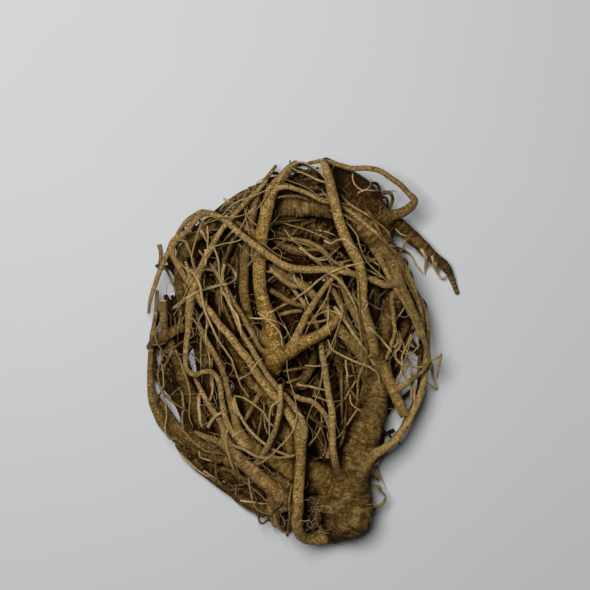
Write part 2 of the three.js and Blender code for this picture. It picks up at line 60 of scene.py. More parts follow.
# %% Stations of every root
ROOTS = {
    # crown, and the thick right leader that carries it on: it runs to the back, bends over to the
    # left and thins out down to the table
    "main_root": [(22, -143, 11, 4.5), (23, -140, 13, 8.2), (26, -135, 14.8, 13.1),
        (29, -130, 16.2, 16.5), (32, -124, 17.2, 18.8), (32, -118, 17.2, 18.8), (32, -111, 17, 17.8),
        (32, -104, 17.2, 17), (33, -97, 17.4, 15.4), (35, -91, 17.6, 14), (38, -83, 18, 12.4),
        (42, -72, 18, 11.5), (48, -57, 17, 11.2), (53, -42, 17, 10), (55, -26, 17, 8.6), (57, -9, 18, 8),
        (61, 12, 20, 7.5), (67, 32, 24, 7.4), (71, 48, 27, 7.4), (68, 65, 28, 7.4), (54, 82, 27, 7.5),
        (38, 98, 24, 7.6), (20, 106, 20, 7.6), (0, 108, 16, 7.2), (-20, 106, 12, 6.2), (-36, 99, 7, 5),
        (-52, 88, 3.4, 3.8), (-66, 74, 2.6, 2.8)],
    # left leader: leaves the crown sideways, turns back and climbs to the top of the nest
    "left_leader": [(30, -106, 20, 12), (14, -97, 21, 10.5), (1, -90, 22, 9.2), (-6, -77, 23, 7.6),
        (-11, -66, 24, 6.6), (-15, -56, 25, 6.1), (-21, -41, 26, 6.1), (-26, -26, 27, 6.4),
        (-25, -11, 28, 7), (-22, 3, 29, 7.4), (-25, 15, 30, 6.8), (-29, 26, 31, 6), (-33, 38, 31, 5.4),
        (-35, 53, 31, 5), (-35, 71, 32, 4.9), (-32, 89, 33, 4.8), (-29, 107, 33, 4.7),
        (-25, 120, 31, 4.4), (-18, 129, 27, 3.8), (-12, 136, 21, 3.2), (-7, 141, 14, 2.4)],
    # broad low branch along the front left, with a thin end that turns up the left edge
    "front_branch": [(10, -100, 18, 8.5), (-8, -103, 16, 7.5), (-22, -98, 13, 7), (-38, -90, 10, 6.6),
        (-52, -84, 8, 6.4), (-69, -78, 6, 6.3), (-86, -70, 5.6, 6.1), (-98, -64, 5.6, 5.7),
        (-107, -57, 5.6, 4.9), (-112, -49, 6, 3.9), (-116, -38, 8, 3.2), (-117, -22, 10, 2.6),
        (-117, -6, 12, 2.2), (-116, 11, 13, 1.9), (-113, 28, 14, 1.6), (-112, 44, 13, 1.3)],
    # long bright root: hooks out of the crown and crosses the whole nest on top
    "long_root": [(26, -128, 18, 5.2), (19, -138, 15, 4.7), (10, -143, 16, 4.5), (1, -142, 22, 4.3),
        (-4, -138, 30, 4.3), (-6, -129, 36, 4.3), (-5, -118, 40, 4.3), (-5, -107, 42, 4.3),
        (-4, -94, 43, 4.3), (-3, -79, 44, 4.2), (-4, -66, 44, 4), (-7, -56, 44, 3.8), (-12, -47, 44, 3.6),
        (-19, -38, 44, 3.5), (-27, -29, 44, 3.4), (-34, -20, 44, 3.3), (-40, -10, 44, 3.2),
        (-47, -1, 43, 3.1), (-54, 8, 43, 2.9), (-62, 17, 42, 2.8), (-70, 28, 41, 2.6), (-77, 36, 39, 2.4),
        (-82, 46, 36, 2.1), (-86, 56, 32, 1.7), (-89, 66, 27, 1.3)],
    "long_fork": [(-4, -72, 45, 2.6), (0, -59, 46, 2.4), (-5, -47, 47, 2.3), (-13, -36, 47, 2.2),
        (-22, -26, 47, 2.1), (-30, -15, 48, 2.1), (-37, -3, 47, 2), (-44, 8, 46, 1.8), (-50, 20, 44, 1.6),
        (-55, 33, 40, 1.4), (-59, 46, 36, 1.2)],
    # roots that leave the left leader
    "outer_curve": [(6, -93, 23, 4.9), (-6, -94, 26, 5.1), (-16, -88, 27, 5.1), (-26, -82, 28, 4.9),
        (-36, -75, 29, 4.5), (-44, -68, 30, 3.9), (-50, -58, 31, 3.3), (-54, -45, 32, 2.6),
        (-58, -30, 33, 2.3), (-62, -15, 33, 2.2), (-67, -5, 32, 2.2), (-72, 4, 31, 2.2), (-77, 13, 29, 2),
        (-82, 24, 27, 1.8), (-86, 36, 24, 1.5), (-91, 49, 20, 1.2)],
    "left_hook": [(-37, -74, 29, 2.8), (-46, -71, 33, 2.5), (-52, -64, 33, 2.4), (-58, -55, 33, 2.3),
        (-61, -44, 34, 2.2), (-63, -32, 35, 2.2), (-65, -22, 36, 2), (-70, -16, 37, 1.9),
        (-76, -16, 38, 1.9), (-82, -18, 39, 1.9), (-87, -16, 39, 1.9), (-89, -10, 39, 1.9),
        (-89, 0, 39, 2), (-88, 11, 39, 2.1), (-86, 28, 39, 2.9), (-85, 39, 38, 2.9), (-81, 52, 38, 2.6),
        (-76, 66, 37, 2.5), (-70, 77, 37, 2.3), (-63, 89, 36, 2.2), (-54, 100, 34, 2.2),
        (-45, 110, 31, 2), (-37, 118, 28, 1.8), (-29, 127, 23, 1.4)],
    "knee_branch": [(-29, -13, 31, 6), (-19, -6, 37, 6), (-10, 0, 41, 5.4), (0, 6, 43, 4.8),
        (11, 12, 43, 4.3), (20, 19, 40, 3.6), (27, 27, 35, 2.8), (33, 37, 29, 2.2), (40, 46, 23, 1.6)],
    "cross_root": [(-12, -1, 42, 3.2), (-8, 8, 45, 2.7), (-3, 18, 46, 2.6), (2, 28, 46, 2.5),
        (10, 40, 46, 2.3), (16, 49, 45, 2.1), (22, 56, 42, 1.9), (28, 65, 38, 1.5)],
    "rear_reddish": [(-24, 6, 28, 4), (-37, 12, 27, 3.8), (-43, 26, 27, 3.7), (-46, 45, 27, 3.6),
        (-45, 66, 27, 3.5), (-42, 84, 27, 3.3), (-39, 101, 26, 2.9), (-36, 116, 23, 2.4),
        (-29, 129, 17, 1.9), (-22, 139, 11, 1.3)],
    "left_slant": [(-26, -6, 30, 2.8), (-33, 0, 34, 2.3), (-41, 15, 35, 2.1), (-49, 29, 35, 2),
        (-56, 41, 34, 1.9), (-63, 53, 31, 1.7), (-71, 64, 28, 1.4), (-79, 74, 23, 1)],
    "front_curl": [(-24, -31, 29, 2.4), (-16, -30, 34, 2.1), (-4, -36, 36, 2), (5, -38, 36, 2),
        (11, -43, 36, 2), (16, -50, 35, 2), (19, -58, 32, 2.1), (20, -71, 28, 2.2), (17, -81, 25, 2.3)],
    "upper_fork": [(-32, 82, 30, 3), (-41, 89, 30, 2.7), (-51, 94, 30, 2.7), (-61, 98, 30, 2.7),
        (-70, 102, 29, 2.5), (-79, 103, 26, 2.2), (-88, 98, 22, 1.9), (-95, 90, 17, 1.5),
        (-101, 80, 12, 1.1)],
    "left_outer": [(-77, 103, 27, 2.1), (-85, 94, 28, 2), (-89, 89, 28, 2), (-97, 82, 26, 2),
        (-103, 73, 24, 2), (-108, 62, 22, 1.9), (-112, 52, 20, 1.8), (-116, 40, 17, 1.6),
        (-118, 28, 14, 1.2)],
    "left_bright": [(-94, 86, 27, 2.1), (-100, 80, 24.5, 2.1), (-100, 72, 24, 2.2), (-95, 62, 23, 2.2),
        (-89, 52, 22, 2.2), (-82, 43, 21, 2), (-76, 32, 18, 1.7), (-73, 19, 15, 1.3)],
    "inner_low": [(-22, -36, 23, 4.6), (-9, -30, 18, 3.9), (2, -18, 15, 3.6), (8, -4, 13, 3.4),
        (14, 10, 12, 3.2), (22, 24, 11, 3), (26, 38, 12, 2.7), (22, 52, 14, 2.4), (13, 62, 14, 2)],
    "top_spur": [(-26, 120, 33, 2), (-14, 122, 36, 1.8), (0, 118, 37, 1.7), (13, 112, 36, 1.7),
        (21, 110, 34, 1.5), (30, 106, 33, 1.5), (41, 98, 33, 1.5), (52, 89, 34, 1.4), (64, 77, 35, 1.1)],
    # roots that leave the crown's left side and the front branch
    "low_reddish": [(21, -111, 11, 4.9), (10, -112, 9, 4.3), (-2, -117, 11, 4.3), (-10, -116, 15, 4.7),
        (-16, -112, 19, 5.2), (-25, -105, 21, 5.7), (-33, -98, 23, 5.6), (-41, -90, 24, 5.2),
        (-48, -84, 25, 4.8), (-54, -77, 26, 4.1), (-58, -70, 26, 3.3), (-61, -62, 26, 2.8),
        (-64, -53, 27, 2.5), (-70, -44, 28, 2.3), (-75, -35, 29, 2.2), (-79, -28, 29, 2),
        (-82, -22, 29, 1.7)],
    "reddish_fork": [(-49, -82, 25, 3.4), (-58, -74, 27, 3), (-68, -68, 27, 2.6), (-76, -65, 26, 2.2),
        (-82, -62, 25, 1.7)],
    "front_lobe": [(-22, -108, 18, 4.5), (-25, -117, 14, 4.5), (-23, -125, 12, 4.3), (-22, -132, 10, 3.6)],
    "pink_rod": [(-41, -90, 12, 3), (-37, -86, 22, 2.5), (-32, -79, 31, 2.4), (-27, -70, 39, 2.3),
        (-22, -58, 46, 2.2), (-19, -47, 51, 2.1), (-18, -36, 52.5, 2), (-18, -25, 52, 1.6)],
    "left_riser": [(-54, -81, 9, 4.5), (-60, -68, 13, 4.5), (-67, -51, 15, 4.9), (-71, -34, 16, 4.9),
        (-74, -18, 16, 4.2), (-76, 0, 16, 3.8), (-80, 20, 15, 3.3), (-82, 39, 13, 2.8),
        (-88, 56, 12, 2.2), (-94, 71, 12, 1.8)],
    "edge_cross": [(-78, 15, 15, 3), (-86, 16, 18, 3.4), (-94, 16, 20, 3.8), (-101, 13, 20, 3.9),
        (-109, 9, 19, 3.8), (-115, 5, 16, 3.2), (-118, 2, 12, 2.4)],
    "edge_stub": [(-105, 10, 20, 2.7), (-106, 19, 25, 3), (-106, 28, 28, 3.1), (-106, 37, 30, 2.8)],
    "edge_root": [(-79, -76, 7, 4.5), (-86, -63, 7, 4.5), (-92, -47, 7.5, 4.7), (-98, -35, 8, 4.7),
        (-105, -27, 8, 4.3), (-111, -20, 8, 3.8), (-115, -12, 9, 3.1), (-116, 0, 9, 2.5),
        (-116, 11, 9, 2.2), (-112, 24, 9, 1.7), (-108, 35, 9, 1.3)],
    "edge_broad": [(-62, -84, 8, 5.2), (-70, -71, 9, 5.1), (-78, -58, 10, 4.9), (-83, -44, 11, 4.9),
        (-88, -31, 12, 4.9), (-94, -18, 13, 4.8), (-98, -6, 13, 4.2), (-102, 6, 12, 3.4),
        (-103, 19, 11, 3), (-103, 32, 9, 2.5), (-106, 40, 8, 2)],
    "edge_twig": [(-89, -68, 7, 3.4), (-99, -56, 9, 3), (-106, -46, 10, 2.7), (-112, -38, 10, 2.4),
        (-116, -30, 9, 1.8)],
    "front_lower": [(-12, -118, 13, 3.8), (-25, -123, 9, 3.4), (-37, -120, 7, 3.4), (-49, -113, 6, 3.2),
        (-60, -106, 6, 3), (-71, -98, 6, 2.7), (-82, -90, 6, 2.5), (-91, -81, 6, 2.2), (-97, -73, 6, 1.8)],
    # roots that leave the crown and the lower part of the right leader
    "centre_string": [(27, -99, 28, 4), (23, -86, 37, 2.9), (21, -75, 40, 2.7), (20, -60, 41, 2.6),
        (20, -45, 41, 2.6), (17, -30, 40, 2.5), (15, -16, 37, 2.4), (13, -2, 33.5, 2.2),
        (11, 12, 32, 2.1), (5, 26, 30, 1.9), (-3, 38, 26, 1.6), (-12, 50, 21, 1.2)],
    "outer_arc": [(40, -94, 22, 4), (46, -87, 27, 3.2), (53, -79, 27, 3), (60, -74, 26, 3),
        (68, -68, 25, 3), (74, -60, 24, 2.9), (80, -49, 23, 2.8), (86, -37, 22, 2.7), (89, -26, 22, 2.6),
        (91, -14, 22, 2.5), (92, 2, 22, 2.4), (92, 19, 22, 2.2), (89, 33, 23, 2), (83, 44, 24, 1.7),
        (76, 52, 25, 1.4)],
    "cut_root": [(56, -16, 20, 4.8), (60, -14, 25, 4.3), (63, -21, 27, 4.2), (67, -30, 26.5, 4.2),
        (71, -39, 25, 4.3), (76, -49, 23, 4.3)],
    "right_twig": [(67, -30, 27, 2.6), (75, -26, 28, 2.1), (82, -21, 28.5, 2), (88, -16, 29, 1.7),
        (94, -8, 28, 1.2)],
    # roots that fan out from the head of the right leader, back and to the left
    "fan_long": [(50, -14, 19, 5), (43, -5, 25, 4.2), (34, 6, 28, 3.9), (26, 16, 31, 3.7),
        (19, 26, 33, 3.5), (10, 37, 34, 3.2), (0, 48, 33, 2.9), (-13, 56, 29, 2.6), (-25, 62, 24, 2.3),
        (-38, 70, 19, 1.8), (-50, 80, 15, 1.2)],
    "inner_broad": [(14, 32, 28, 3.2), (2, 44, 20, 3.9), (-10, 52, 17, 4.1), (-21, 58, 15, 3.8),
        (-32, 64, 12, 3), (-41, 74, 9, 2.2)],
    "fan_mid": [(46, -6, 23, 3), (41, 3, 27, 2.5), (34, 18, 32, 2.2), (27, 33, 35, 2.1),
        (19, 49, 36, 1.8), (13, 62, 33, 1.4), (4, 70, 27, 1)],
    "fan_right": [(55, -8, 23, 4), (50, 0, 28, 3.1), (45, 11, 31, 2.9), (38, 26, 34, 2.8),
        (31, 40, 36, 2.6), (25, 54, 36, 2.4), (20, 66, 33, 2.2), (13, 75, 28, 1.9), (3, 81, 23, 1.6),
        (-9, 84, 18, 1.2)],
    "tall_root": [(54, -10, 22, 5), (52, -1, 31, 4), (49, 14, 39, 3.8), (44, 28, 45, 3.8),
        (42, 41, 48, 3.8), (42, 52, 49, 3.8), (39, 66, 50, 3.8), (34, 76, 50, 3.8), (27, 91, 49, 3.8),
        (21, 112, 45, 3.7), (18, 127, 40, 3.5), (16, 137, 33, 3), (14, 142, 26, 2.3)],
    "right_bundle": [(63, 70, 29, 4.6), (67, 60, 36, 3.3), (74, 44, 38, 3.1), (81, 30, 36, 2.8),
        (87, 16, 33, 2.4), (92, 0, 29, 1.9), (95, -14, 24, 1.4)],
    "bundle_left": [(52, 77, 30, 3), (57, 66, 37, 2.2), (63, 55, 37, 2.1), (69, 44, 37, 2),
        (76, 33, 36, 1.8), (82, 21, 33, 1.7), (86, 9, 29, 1.4)],
    "bundle_right": [(64, 74, 30, 3), (73, 64, 34, 2.4), (78, 54, 35, 2.2), (82, 44, 34, 2),
        (86, 33, 32, 1.7), (88, 24, 29, 1.3)],
    "top_slant": [(70, 51, 36, 3.2), (60, 49, 40, 2.8), (47, 54, 41, 2.6), (33, 58, 42, 2.6),
        (20, 60, 43, 2.7), (0, 60, 43, 2.7), (-13, 62, 43, 2.8), (-23, 68, 43, 2.8), (-33, 75, 43, 2.8),
        (-45, 84, 42, 2.7), (-56, 94, 39, 2.4), (-64, 100, 33, 1.9), (-70, 102, 26, 1.3)],
    "right_drop": [(69, 42, 28, 2.4), (65, 40, 35, 1.9), (66, 26, 35, 1.7), (67, 14, 33, 1.5),
        (65, 4, 30, 1.3), (61, -6, 29, 1)],
    # broad arm behind the bend of the right leader, with its two side roots
    "rear_broad": [(60, 72, 22, 6), (56, 86, 18, 9.8), (50, 98, 16, 13.5), (44, 109, 15.5, 15),
        (38, 120, 13.5, 12.8), (32, 129, 10, 9), (25, 136, 8, 6), (17, 142, 7, 3.8)],
    "rear_arm": [(46, 104, 16, 7.5), (55, 101, 21, 4.5), (62, 101, 24, 4.1), (69, 102, 25, 3.9),
        (75, 104, 26, 3.8), (80, 108, 27, 3.4), (82, 112, 28, 2.8), (78, 117, 30, 2.2),
        (72, 123, 32, 2.2), (64, 129, 33, 2.2), (56, 134, 33, 2.1), (46, 136, 32, 2), (35, 136, 30, 2),
        (25, 139, 27, 1.8), (14, 142, 22, 1.6), (3, 141, 17, 1.3)],
    "right_brown": [(49, 105, 14, 8.2), (59, 100, 13, 6.4), (69, 96, 12.5, 5.7), (79, 88, 12, 5.4),
        (88, 80, 11, 5.2), (98, 70, 9, 4.8), (106, 64, 7, 3.9), (110, 58, 5, 3), (113, 51, 3.4, 2.2),
        (116, 43, 2.6, 1.7)],
    # roots that leave the right leader where it bends over
    "rear_inner": [(40, 95, 20, 5), (30, 84, 17, 4.8), (14, 76, 15, 4.2), (0, 74, 12, 3.8),
        (-14, 77, 9, 3.2), (-26, 84, 6, 2.6), (-40, 92, 2.4, 2.2)],
    "rear_low": [(-4, 108, 15, 5), (-14, 117, 9, 3.6), (-28, 122, 5, 2.9), (-44, 120, 2.8, 2.5),
        (-58, 112, 2.2, 2.1), (-71, 101, 2, 1.7)],
    "left_broad": [(-41, 96, 9, 4.5), (-52, 96, 10, 4.2), (-65, 94, 12, 4.3), (-79, 88, 14, 4.5),
        (-89, 79, 15, 4.7), (-94, 66, 15, 4.8), (-95, 52, 14, 4.7), (-92, 39, 12, 4.2),
        (-88, 26, 10, 3.8), (-84, 11, 8, 3.2), (-82, -4, 6, 2.5), (-81, -19, 5, 2)],
    # deep roots that run low through the nest, most of them resting on the table
    "deep_centre": [(26, -96, 12, 7), (15, -76, 9, 5.6), (9, -56, 7, 5), (1, -37, 6, 4.6),
        (-9, -19, 5, 4.2), (-11, 0, 4, 3.8), (-7, 19, 3.4, 3.5), (-4, 38, 3, 3.1), (1, 56, 2.6, 2.8),
        (6, 72, 2.6, 2.5), (10, 87, 2.6, 2), (12, 100, 3, 1.5)],
    "deep_right": [(48, -52, 11, 6.5), (35, -38, 8, 5.2), (28, -19, 5, 4.7), (26, 4, 4, 4.2),
        (30, 24, 3.6, 3.8), (35, 44, 3.2, 3.4), (40, 60, 3, 3), (43, 75, 3.2, 2.6), (47, 90, 5, 2.1),
        (54, 103, 8, 1.5)],
    "deep_outer": [(60, -2, 15, 5), (72, 10, 9, 4.2), (79, 26, 5, 3.7), (79, 44, 3.2, 3.3),
        (75, 59, 2.8, 2.9), (69, 71, 2.6, 2.5), (64, 82, 2.8, 2), (66, 93, 4, 1.5)],
    "deep_inner": [(50, -24, 14, 5), (43, -14, 12, 4.2), (44, 2, 10, 3.7), (50, 17, 9, 3.3),
        (55, 32, 10, 3), (54, 46, 14, 2.7), (47, 58, 17, 2.4), (39, 69, 18, 2), (33, 82, 17, 1.6)],
    "deep_bend": [(56, -32, 11, 4.5), (64, -22, 7, 3.4), (72, -11, 4.4, 3), (77, 2, 3.4, 2.7),
        (81, 16, 3, 2.3), (82, 29, 3, 2), (80, 40, 3, 1.5)],
    "deep_left": [(-31, -94, 9, 5), (-41, -76, 5, 4.3), (-43, -56, 4, 4), (-45, -38, 3.6, 3.7),
        (-44, -19, 3.4, 3.4), (-48, 0, 3, 3.1), (-53, 19, 2.8, 2.9), (-56, 38, 2.6, 2.6),
        (-57, 54, 2.6, 2.3), (-63, 68, 2.6, 2), (-73, 79, 3, 1.7), (-82, 89, 4, 1.3)],
    "low_left": [(-14, -60, 21, 5), (-21, -54, 13, 4.3), (-27, -42, 8, 4), (-29, -26, 5, 3.8),
        (-29, -8, 3.8, 3.6), (-31, 12, 3.4, 3.5), (-32, 30, 3.3, 3.4), (-32, 48, 3.2, 3.2),
        (-31, 62, 3.2, 2.8), (-33, 74, 3, 2.2)],
    "low_edge": [(-74, -75, 5.6, 5), (-74, -61, 5, 4), (-73, -46, 4, 3.6), (-74, -30, 3.2, 3.3),
        (-77, -14, 3, 3.1), (-78, 3, 2.9, 3), (-79, 21, 2.8, 2.8), (-82, 38, 2.8, 2.5), (-84, 54, 3, 2.1),
        (-83, 68, 4, 1.6)],
    "low_front": [(-18, -98, 12, 5), (-17, -87, 8, 4), (-13, -75, 5, 3.6), (-9, -62, 4, 3.4),
        (-9, -50, 3.4, 3.1), (-15, -37, 3, 2.6), (-19, -24, 2.8, 2.2), (-20, -11, 3, 1.7)],
    "low_right": [(44, -98, 12, 5), (50, -86, 15, 3.8), (58, -77, 15, 3), (65, -71, 15, 2.8),
        (73, -62, 14, 2.7), (79, -50, 13, 2.6), (85, -37, 11, 2.5), (88, -26, 9, 2.5), (88, -11, 7, 2.4),
        (89, 4, 5, 2.2), (86, 19, 4, 2.1), (82, 34, 4, 1.8), (76, 45, 4, 1.5)],
    "low_rear": [(35, 101, 20, 5), (42, 111, 14, 3.7), (39, 121, 10, 3.2), (28, 126, 7, 2.9),
        (14, 126, 5, 2.6), (2, 127, 3.4, 2)],
    # roots half way up that fill the nest
    "middle_left": [(-26, -32, 24, 4.5), (-38, -26, 20, 4.9), (-46, -12, 19, 4.9), (-54, 4, 18, 4.8),
        (-60, 20, 17, 4.3), (-64, 36, 16, 3.9), (-64, 52, 16, 3.3), (-61, 66, 16, 2.5), (-56, 78, 15, 1.8)],
    "shaded_root": [(27, -96, 13, 7), (25, -85, 11, 7.8), (27, -73, 10, 7.8), (30, -60, 10, 7.6),
        (33, -46, 10, 7), (34, -33, 9, 5.8), (32, -19, 7, 4.4), (29, -4, 5, 3.2), (25, 12, 4, 2.2)],
}
print(len(ROOTS), "roots with", sum(len(row) for row in ROOTS.values()), "stations")

# %% [markdown]
# ## Habit
# A side root leaves another root, and its skin has a tint of its own: the reddish ones have
# kept their outer bark, the dark ones have soil on them, and those that sit in the shade are
# darkened further with painted shade. Broken ends show the pale flesh inside.

# %% Where each root grows from, and its tint
# name: (the root that it leaves, how reddish it is, how dark it is from soil and painted shade), both from
# 0 to 1
HABIT = {
    "main_root": (None, 0.1, 0.26),
    "left_leader": ("main_root", 0.06, 0),
    "front_branch": ("main_root", 0.12, 0.28),
    "long_root": ("main_root", 0.14, 0),
    "long_fork": ("long_root", 0.2, 0.1),
    "outer_curve": ("left_leader", 0.15, 0.2),
    "left_hook": ("outer_curve", 0.1, 0.05),
    "knee_branch": ("left_leader", 0, 0.05),
    "cross_root": ("knee_branch", 0.05, 0.06),
    "rear_reddish": ("left_leader", 0.45, 0.32),
    "left_slant": ("left_leader", 0.1, 0.15),
    "front_curl": ("left_leader", 0.05, 0.05),
    "upper_fork": ("left_leader", 0.15, 0.2),
    "left_outer": ("upper_fork", 0.12, 0.08),
    "left_bright": ("left_outer", 0.08, 0.05),
    "inner_low": ("left_leader", 0.15, 0.45),
    "top_spur": ("left_leader", 0.05, 0.02),
    "low_reddish": ("main_root", 0.7, 0.02),
    "reddish_fork": ("low_reddish", 0.6, 0.28),
    "front_lobe": ("low_reddish", 0.55, 0.02),
    "pink_rod": ("front_branch", 0.75, 0),
    "left_riser": ("front_branch", 0.4, 0.5),
    "edge_cross": ("left_riser", 0.6, 0.4),
    "edge_stub": ("edge_cross", 0.55, 0.3),
    "edge_root": ("front_branch", 0.85, 0.85),
    "edge_broad": ("front_branch", 0.4, 0.5),
    "edge_twig": ("front_branch", 0.6, 0.5),
    "front_lower": ("low_reddish", 0.6, 0.6),
    "centre_string": ("main_root", 0.08, 0.03),
    "outer_arc": ("main_root", 0.08, 0),
    "cut_root": ("main_root", 0.05, 0),
    "right_twig": ("cut_root", 0.2, 0.38),
    "fan_long": ("main_root", 0.05, 0.15),
    "inner_broad": ("fan_long", 0.1, 0.45),
    "fan_mid": ("main_root", 0.05, 0.18),
    "fan_right": ("main_root", 0.08, 0.2),
    "tall_root": ("main_root", 0.06, 0),
    "right_bundle": ("main_root", 0.2, 0.28),
    "bundle_left": ("main_root", 0.12, 0.12),
    "bundle_right": ("main_root", 0.15, 0.2),
    "top_slant": ("right_bundle", 0.3, 0),
    "right_drop": ("main_root", 0.1, 0.12),
    "rear_broad": ("main_root", 0.25, 0.7),
    "rear_arm": ("rear_broad", 0.25, 0.22),
    "right_brown": ("rear_broad", 0.3, 0.38),
    "rear_inner": ("main_root", 0.1, 0.4),
    "rear_low": ("main_root", 0.2, 0.45),
    "left_broad": ("main_root", 0.1, 0.45),
    "deep_centre": ("main_root", 0.15, 0.5),
    "deep_right": ("main_root", 0.1, 0.5),
    "deep_outer": ("main_root", 0.2, 0.45),
    "deep_inner": ("main_root", 0.1, 0.45),
    "deep_bend": ("main_root", 0.15, 0.5),
    "deep_left": ("front_branch", 0.3, 0.5),
    "low_left": ("left_leader", 0.2, 0.5),
    "low_edge": ("front_branch", 0.3, 0.45),
    "low_front": ("front_branch", 0.2, 0.5),
    "low_right": ("main_root", 0.15, 0.4),
    "low_rear": ("main_root", 0.2, 0.45),
    "middle_left": ("left_leader", 0.05, 0.4),
    "shaded_root": ("main_root", 0.12, 0.8),
}
BROKEN_ENDS = ("front_curl", "cut_root", "pink_rod", "edge_stub")
print(len(HABIT), "habits,", len(BROKEN_ENDS), "broken ends")

# %% [markdown]
# ## Smooth noise for the shape
# Swellings, rings and wobble all come from one smooth noise. Every corner of a lattice gets a
# fixed pseudo-random value, and the values are blended in between. The same seed always gives
# the same root.

# %% Noise
CORNERS = np.array(list(np.ndindex(2, 2, 2)))[:, ::-1]
HASH_FACTORS = (73856093, 19349663, 83492791)
SEED_FACTOR, MIXING_FACTOR, LOW_BITS = 26544357, 1274126177, 0xFFFFFFFF
CELLS_APART = 7.5           # between the three noises along one line


def lattice_noise(points, seed):
    """Smooth noise from -1 to 1, one lattice cell per unit, at every row of points."""
    cell = np.floor(points).astype(np.int64)
    share = points - cell
    share = share * share * (3 - 2 * share)
    total = np.zeros(len(points))
    for bits in CORNERS:
        mixed = np.bitwise_xor.reduce((cell + bits) * HASH_FACTORS, axis=1)
        mixed = (mixed ^ (seed * SEED_FACTOR)) & LOW_BITS
        mixed = ((mixed ^ (mixed >> 13)) * MIXING_FACTOR) & LOW_BITS
        mixed ^= mixed >> 16
        weight = np.prod(np.where(bits, share, 1 - share), axis=1)
        total += weight * ((mixed & 0xFFFF) / 32767.5 - 1)
    return total


def noise_along(lengths, wave, seed):
    """Three independent smooth noises along a line, with bends about one wave apart."""
    rows = [np.column_stack([lengths / wave, np.full(len(lengths), CELLS_APART * k), lengths * 0])
            for k in range(3)]
    return np.column_stack([lattice_noise(row, seed + k) for k, row in enumerate(rows)])


print("noise at three points:", lattice_noise(np.array([[0.2, 0, 0], [3.7, 1, 2], [9, 9, 9.5]]), 1))

# %% [markdown]
# ## From stations to a tube
# A curve through the stations gives the middle line. Real roots are never that smooth, so the
# line gets a small wobble that fades out where the root leaves its parent. Then a frame is
# carried along the line without twisting, and rings of points are set round it.

# %% The middle line of one root
SPAN_POINTS = 30            # places worked out between two stations
FEWEST_STEPS, THINNEST = 4, 0.3


def length_so_far(places):
    """Length of the line through the places up to each of them."""
    return np.concatenate([[0], np.cumsum(np.linalg.norm(np.diff(places, axis=0), axis=1))])


def blend(t, start, end, first, second):
    """The first row at t = start, the second one at t = end, and a mix in between."""
    return ((end - t) * first + (t - start) * second) / (end - start)


def middle_line(stations, step):
    """Places, radii and lengths so far, at even steps of a smooth curve through the stations."""
    table = np.array(stations, float)
    table = np.vstack([2 * table[0] - table[1], table, 2 * table[-1] - table[-2]])
    gaps = np.linalg.norm(np.diff(table[:, :3], axis=0), axis=1) ** 0.5
    at = np.concatenate([[0], np.cumsum(gaps)])
    rows = []
    for k in range(1, len(table) - 2):
        t = np.linspace(at[k], at[k + 1], SPAN_POINTS, endpoint=False)[:, None]
        low, middle, high = (blend(t, *at[j:j + 2], *table[j:j + 2]) for j in range(k - 1, k + 2))
        lower = blend(t, at[k - 1], at[k + 1], low, middle)
        upper = blend(t, at[k], at[k + 2], middle, high)
        rows.append(blend(t, at[k], at[k + 1], lower, upper))
    dense = np.vstack(rows + [table[-2][None]])
    so_far = length_so_far(dense[:, :3])
    lengths = np.linspace(0, so_far[-1], max(FEWEST_STEPS, round(so_far[-1] / step)) + 1)
    even = np.column_stack([np.interp(lengths, so_far, dense[:, k]) for k in range(4)])
    return even[:, :3], np.maximum(even[:, 3], THINNEST), lengths


def unit(ways):
    """The same ways, each with a length of one."""
    return ways / np.linalg.norm(ways, axis=1)[:, None]


def carried_frame(places):
    """Directions along, across and up at each place, carried along without twist."""
    ahead = unit(np.gradient(places, axis=0))
    across = np.zeros_like(places)
    first = np.cross(ahead[0], (0.0, 0.0, 1.0))
    across[0] = first / np.linalg.norm(first)
    for k in range(1, len(places)):
        turned = across[k - 1] - ahead[k] * (across[k - 1] @ ahead[k])
        across[k] = turned / math.sqrt(turned @ turned)
    return ahead, across, np.cross(ahead, across)


# %% A plain tube for every root
# millimetres from ring to ring, and sides of each ring
THICK_ROOTS = {"main_root": (0.52, 100), "left_leader": (0.62, 60), "front_branch": (0.75, 44),
               "long_root": (0.75, 36), "rear_broad": (0.7, 72)}
SIDE_ROOT_STEP, SIDE_ROOT_SIDES, SIDES_PER_MM, SIDES_RANGE = 1.0, 10, 2.6, (14, 30)
BEND_SIZE, BEND_WAVE = 0.13, 9          # as shares of the root's mean radius
KINK_SIZE, KINK_WAVE, LEAST_KINK = 0.07, 3.2, 0.07
TIP_RINGS = np.radians([18, 38, 58, 76])       # how far round its dome each closing ring is
ROUND_END, BROKEN_END = 0.9, 0.12       # how far an end bulges, as a share of its radius
FIRST_SEED, SEED_STEP = 100, 17


def side_root_sides(name):
    """Sides enough for the thickest place of a side root."""
    thickest = max(row[3] for row in ROOTS[name])
    return int(np.clip(SIDE_ROOT_SIDES + SIDES_PER_MM * thickest, *SIDES_RANGE))


def wobbled(places, radii, lengths, seed):
    """The middle line with the small bends and kinks that a growing root has."""
    girth = radii.mean()
    fade = np.clip((lengths - 2 * radii[0]) / (6 * girth), 0, 1)[:, None]
    bends = BEND_SIZE * girth * noise_along(lengths, BEND_WAVE * girth, seed)
    kinks = (KINK_SIZE * girth + LEAST_KINK) * noise_along(lengths, KINK_WAVE * girth, seed + 31)
    return places + fade * (bends + kinks)


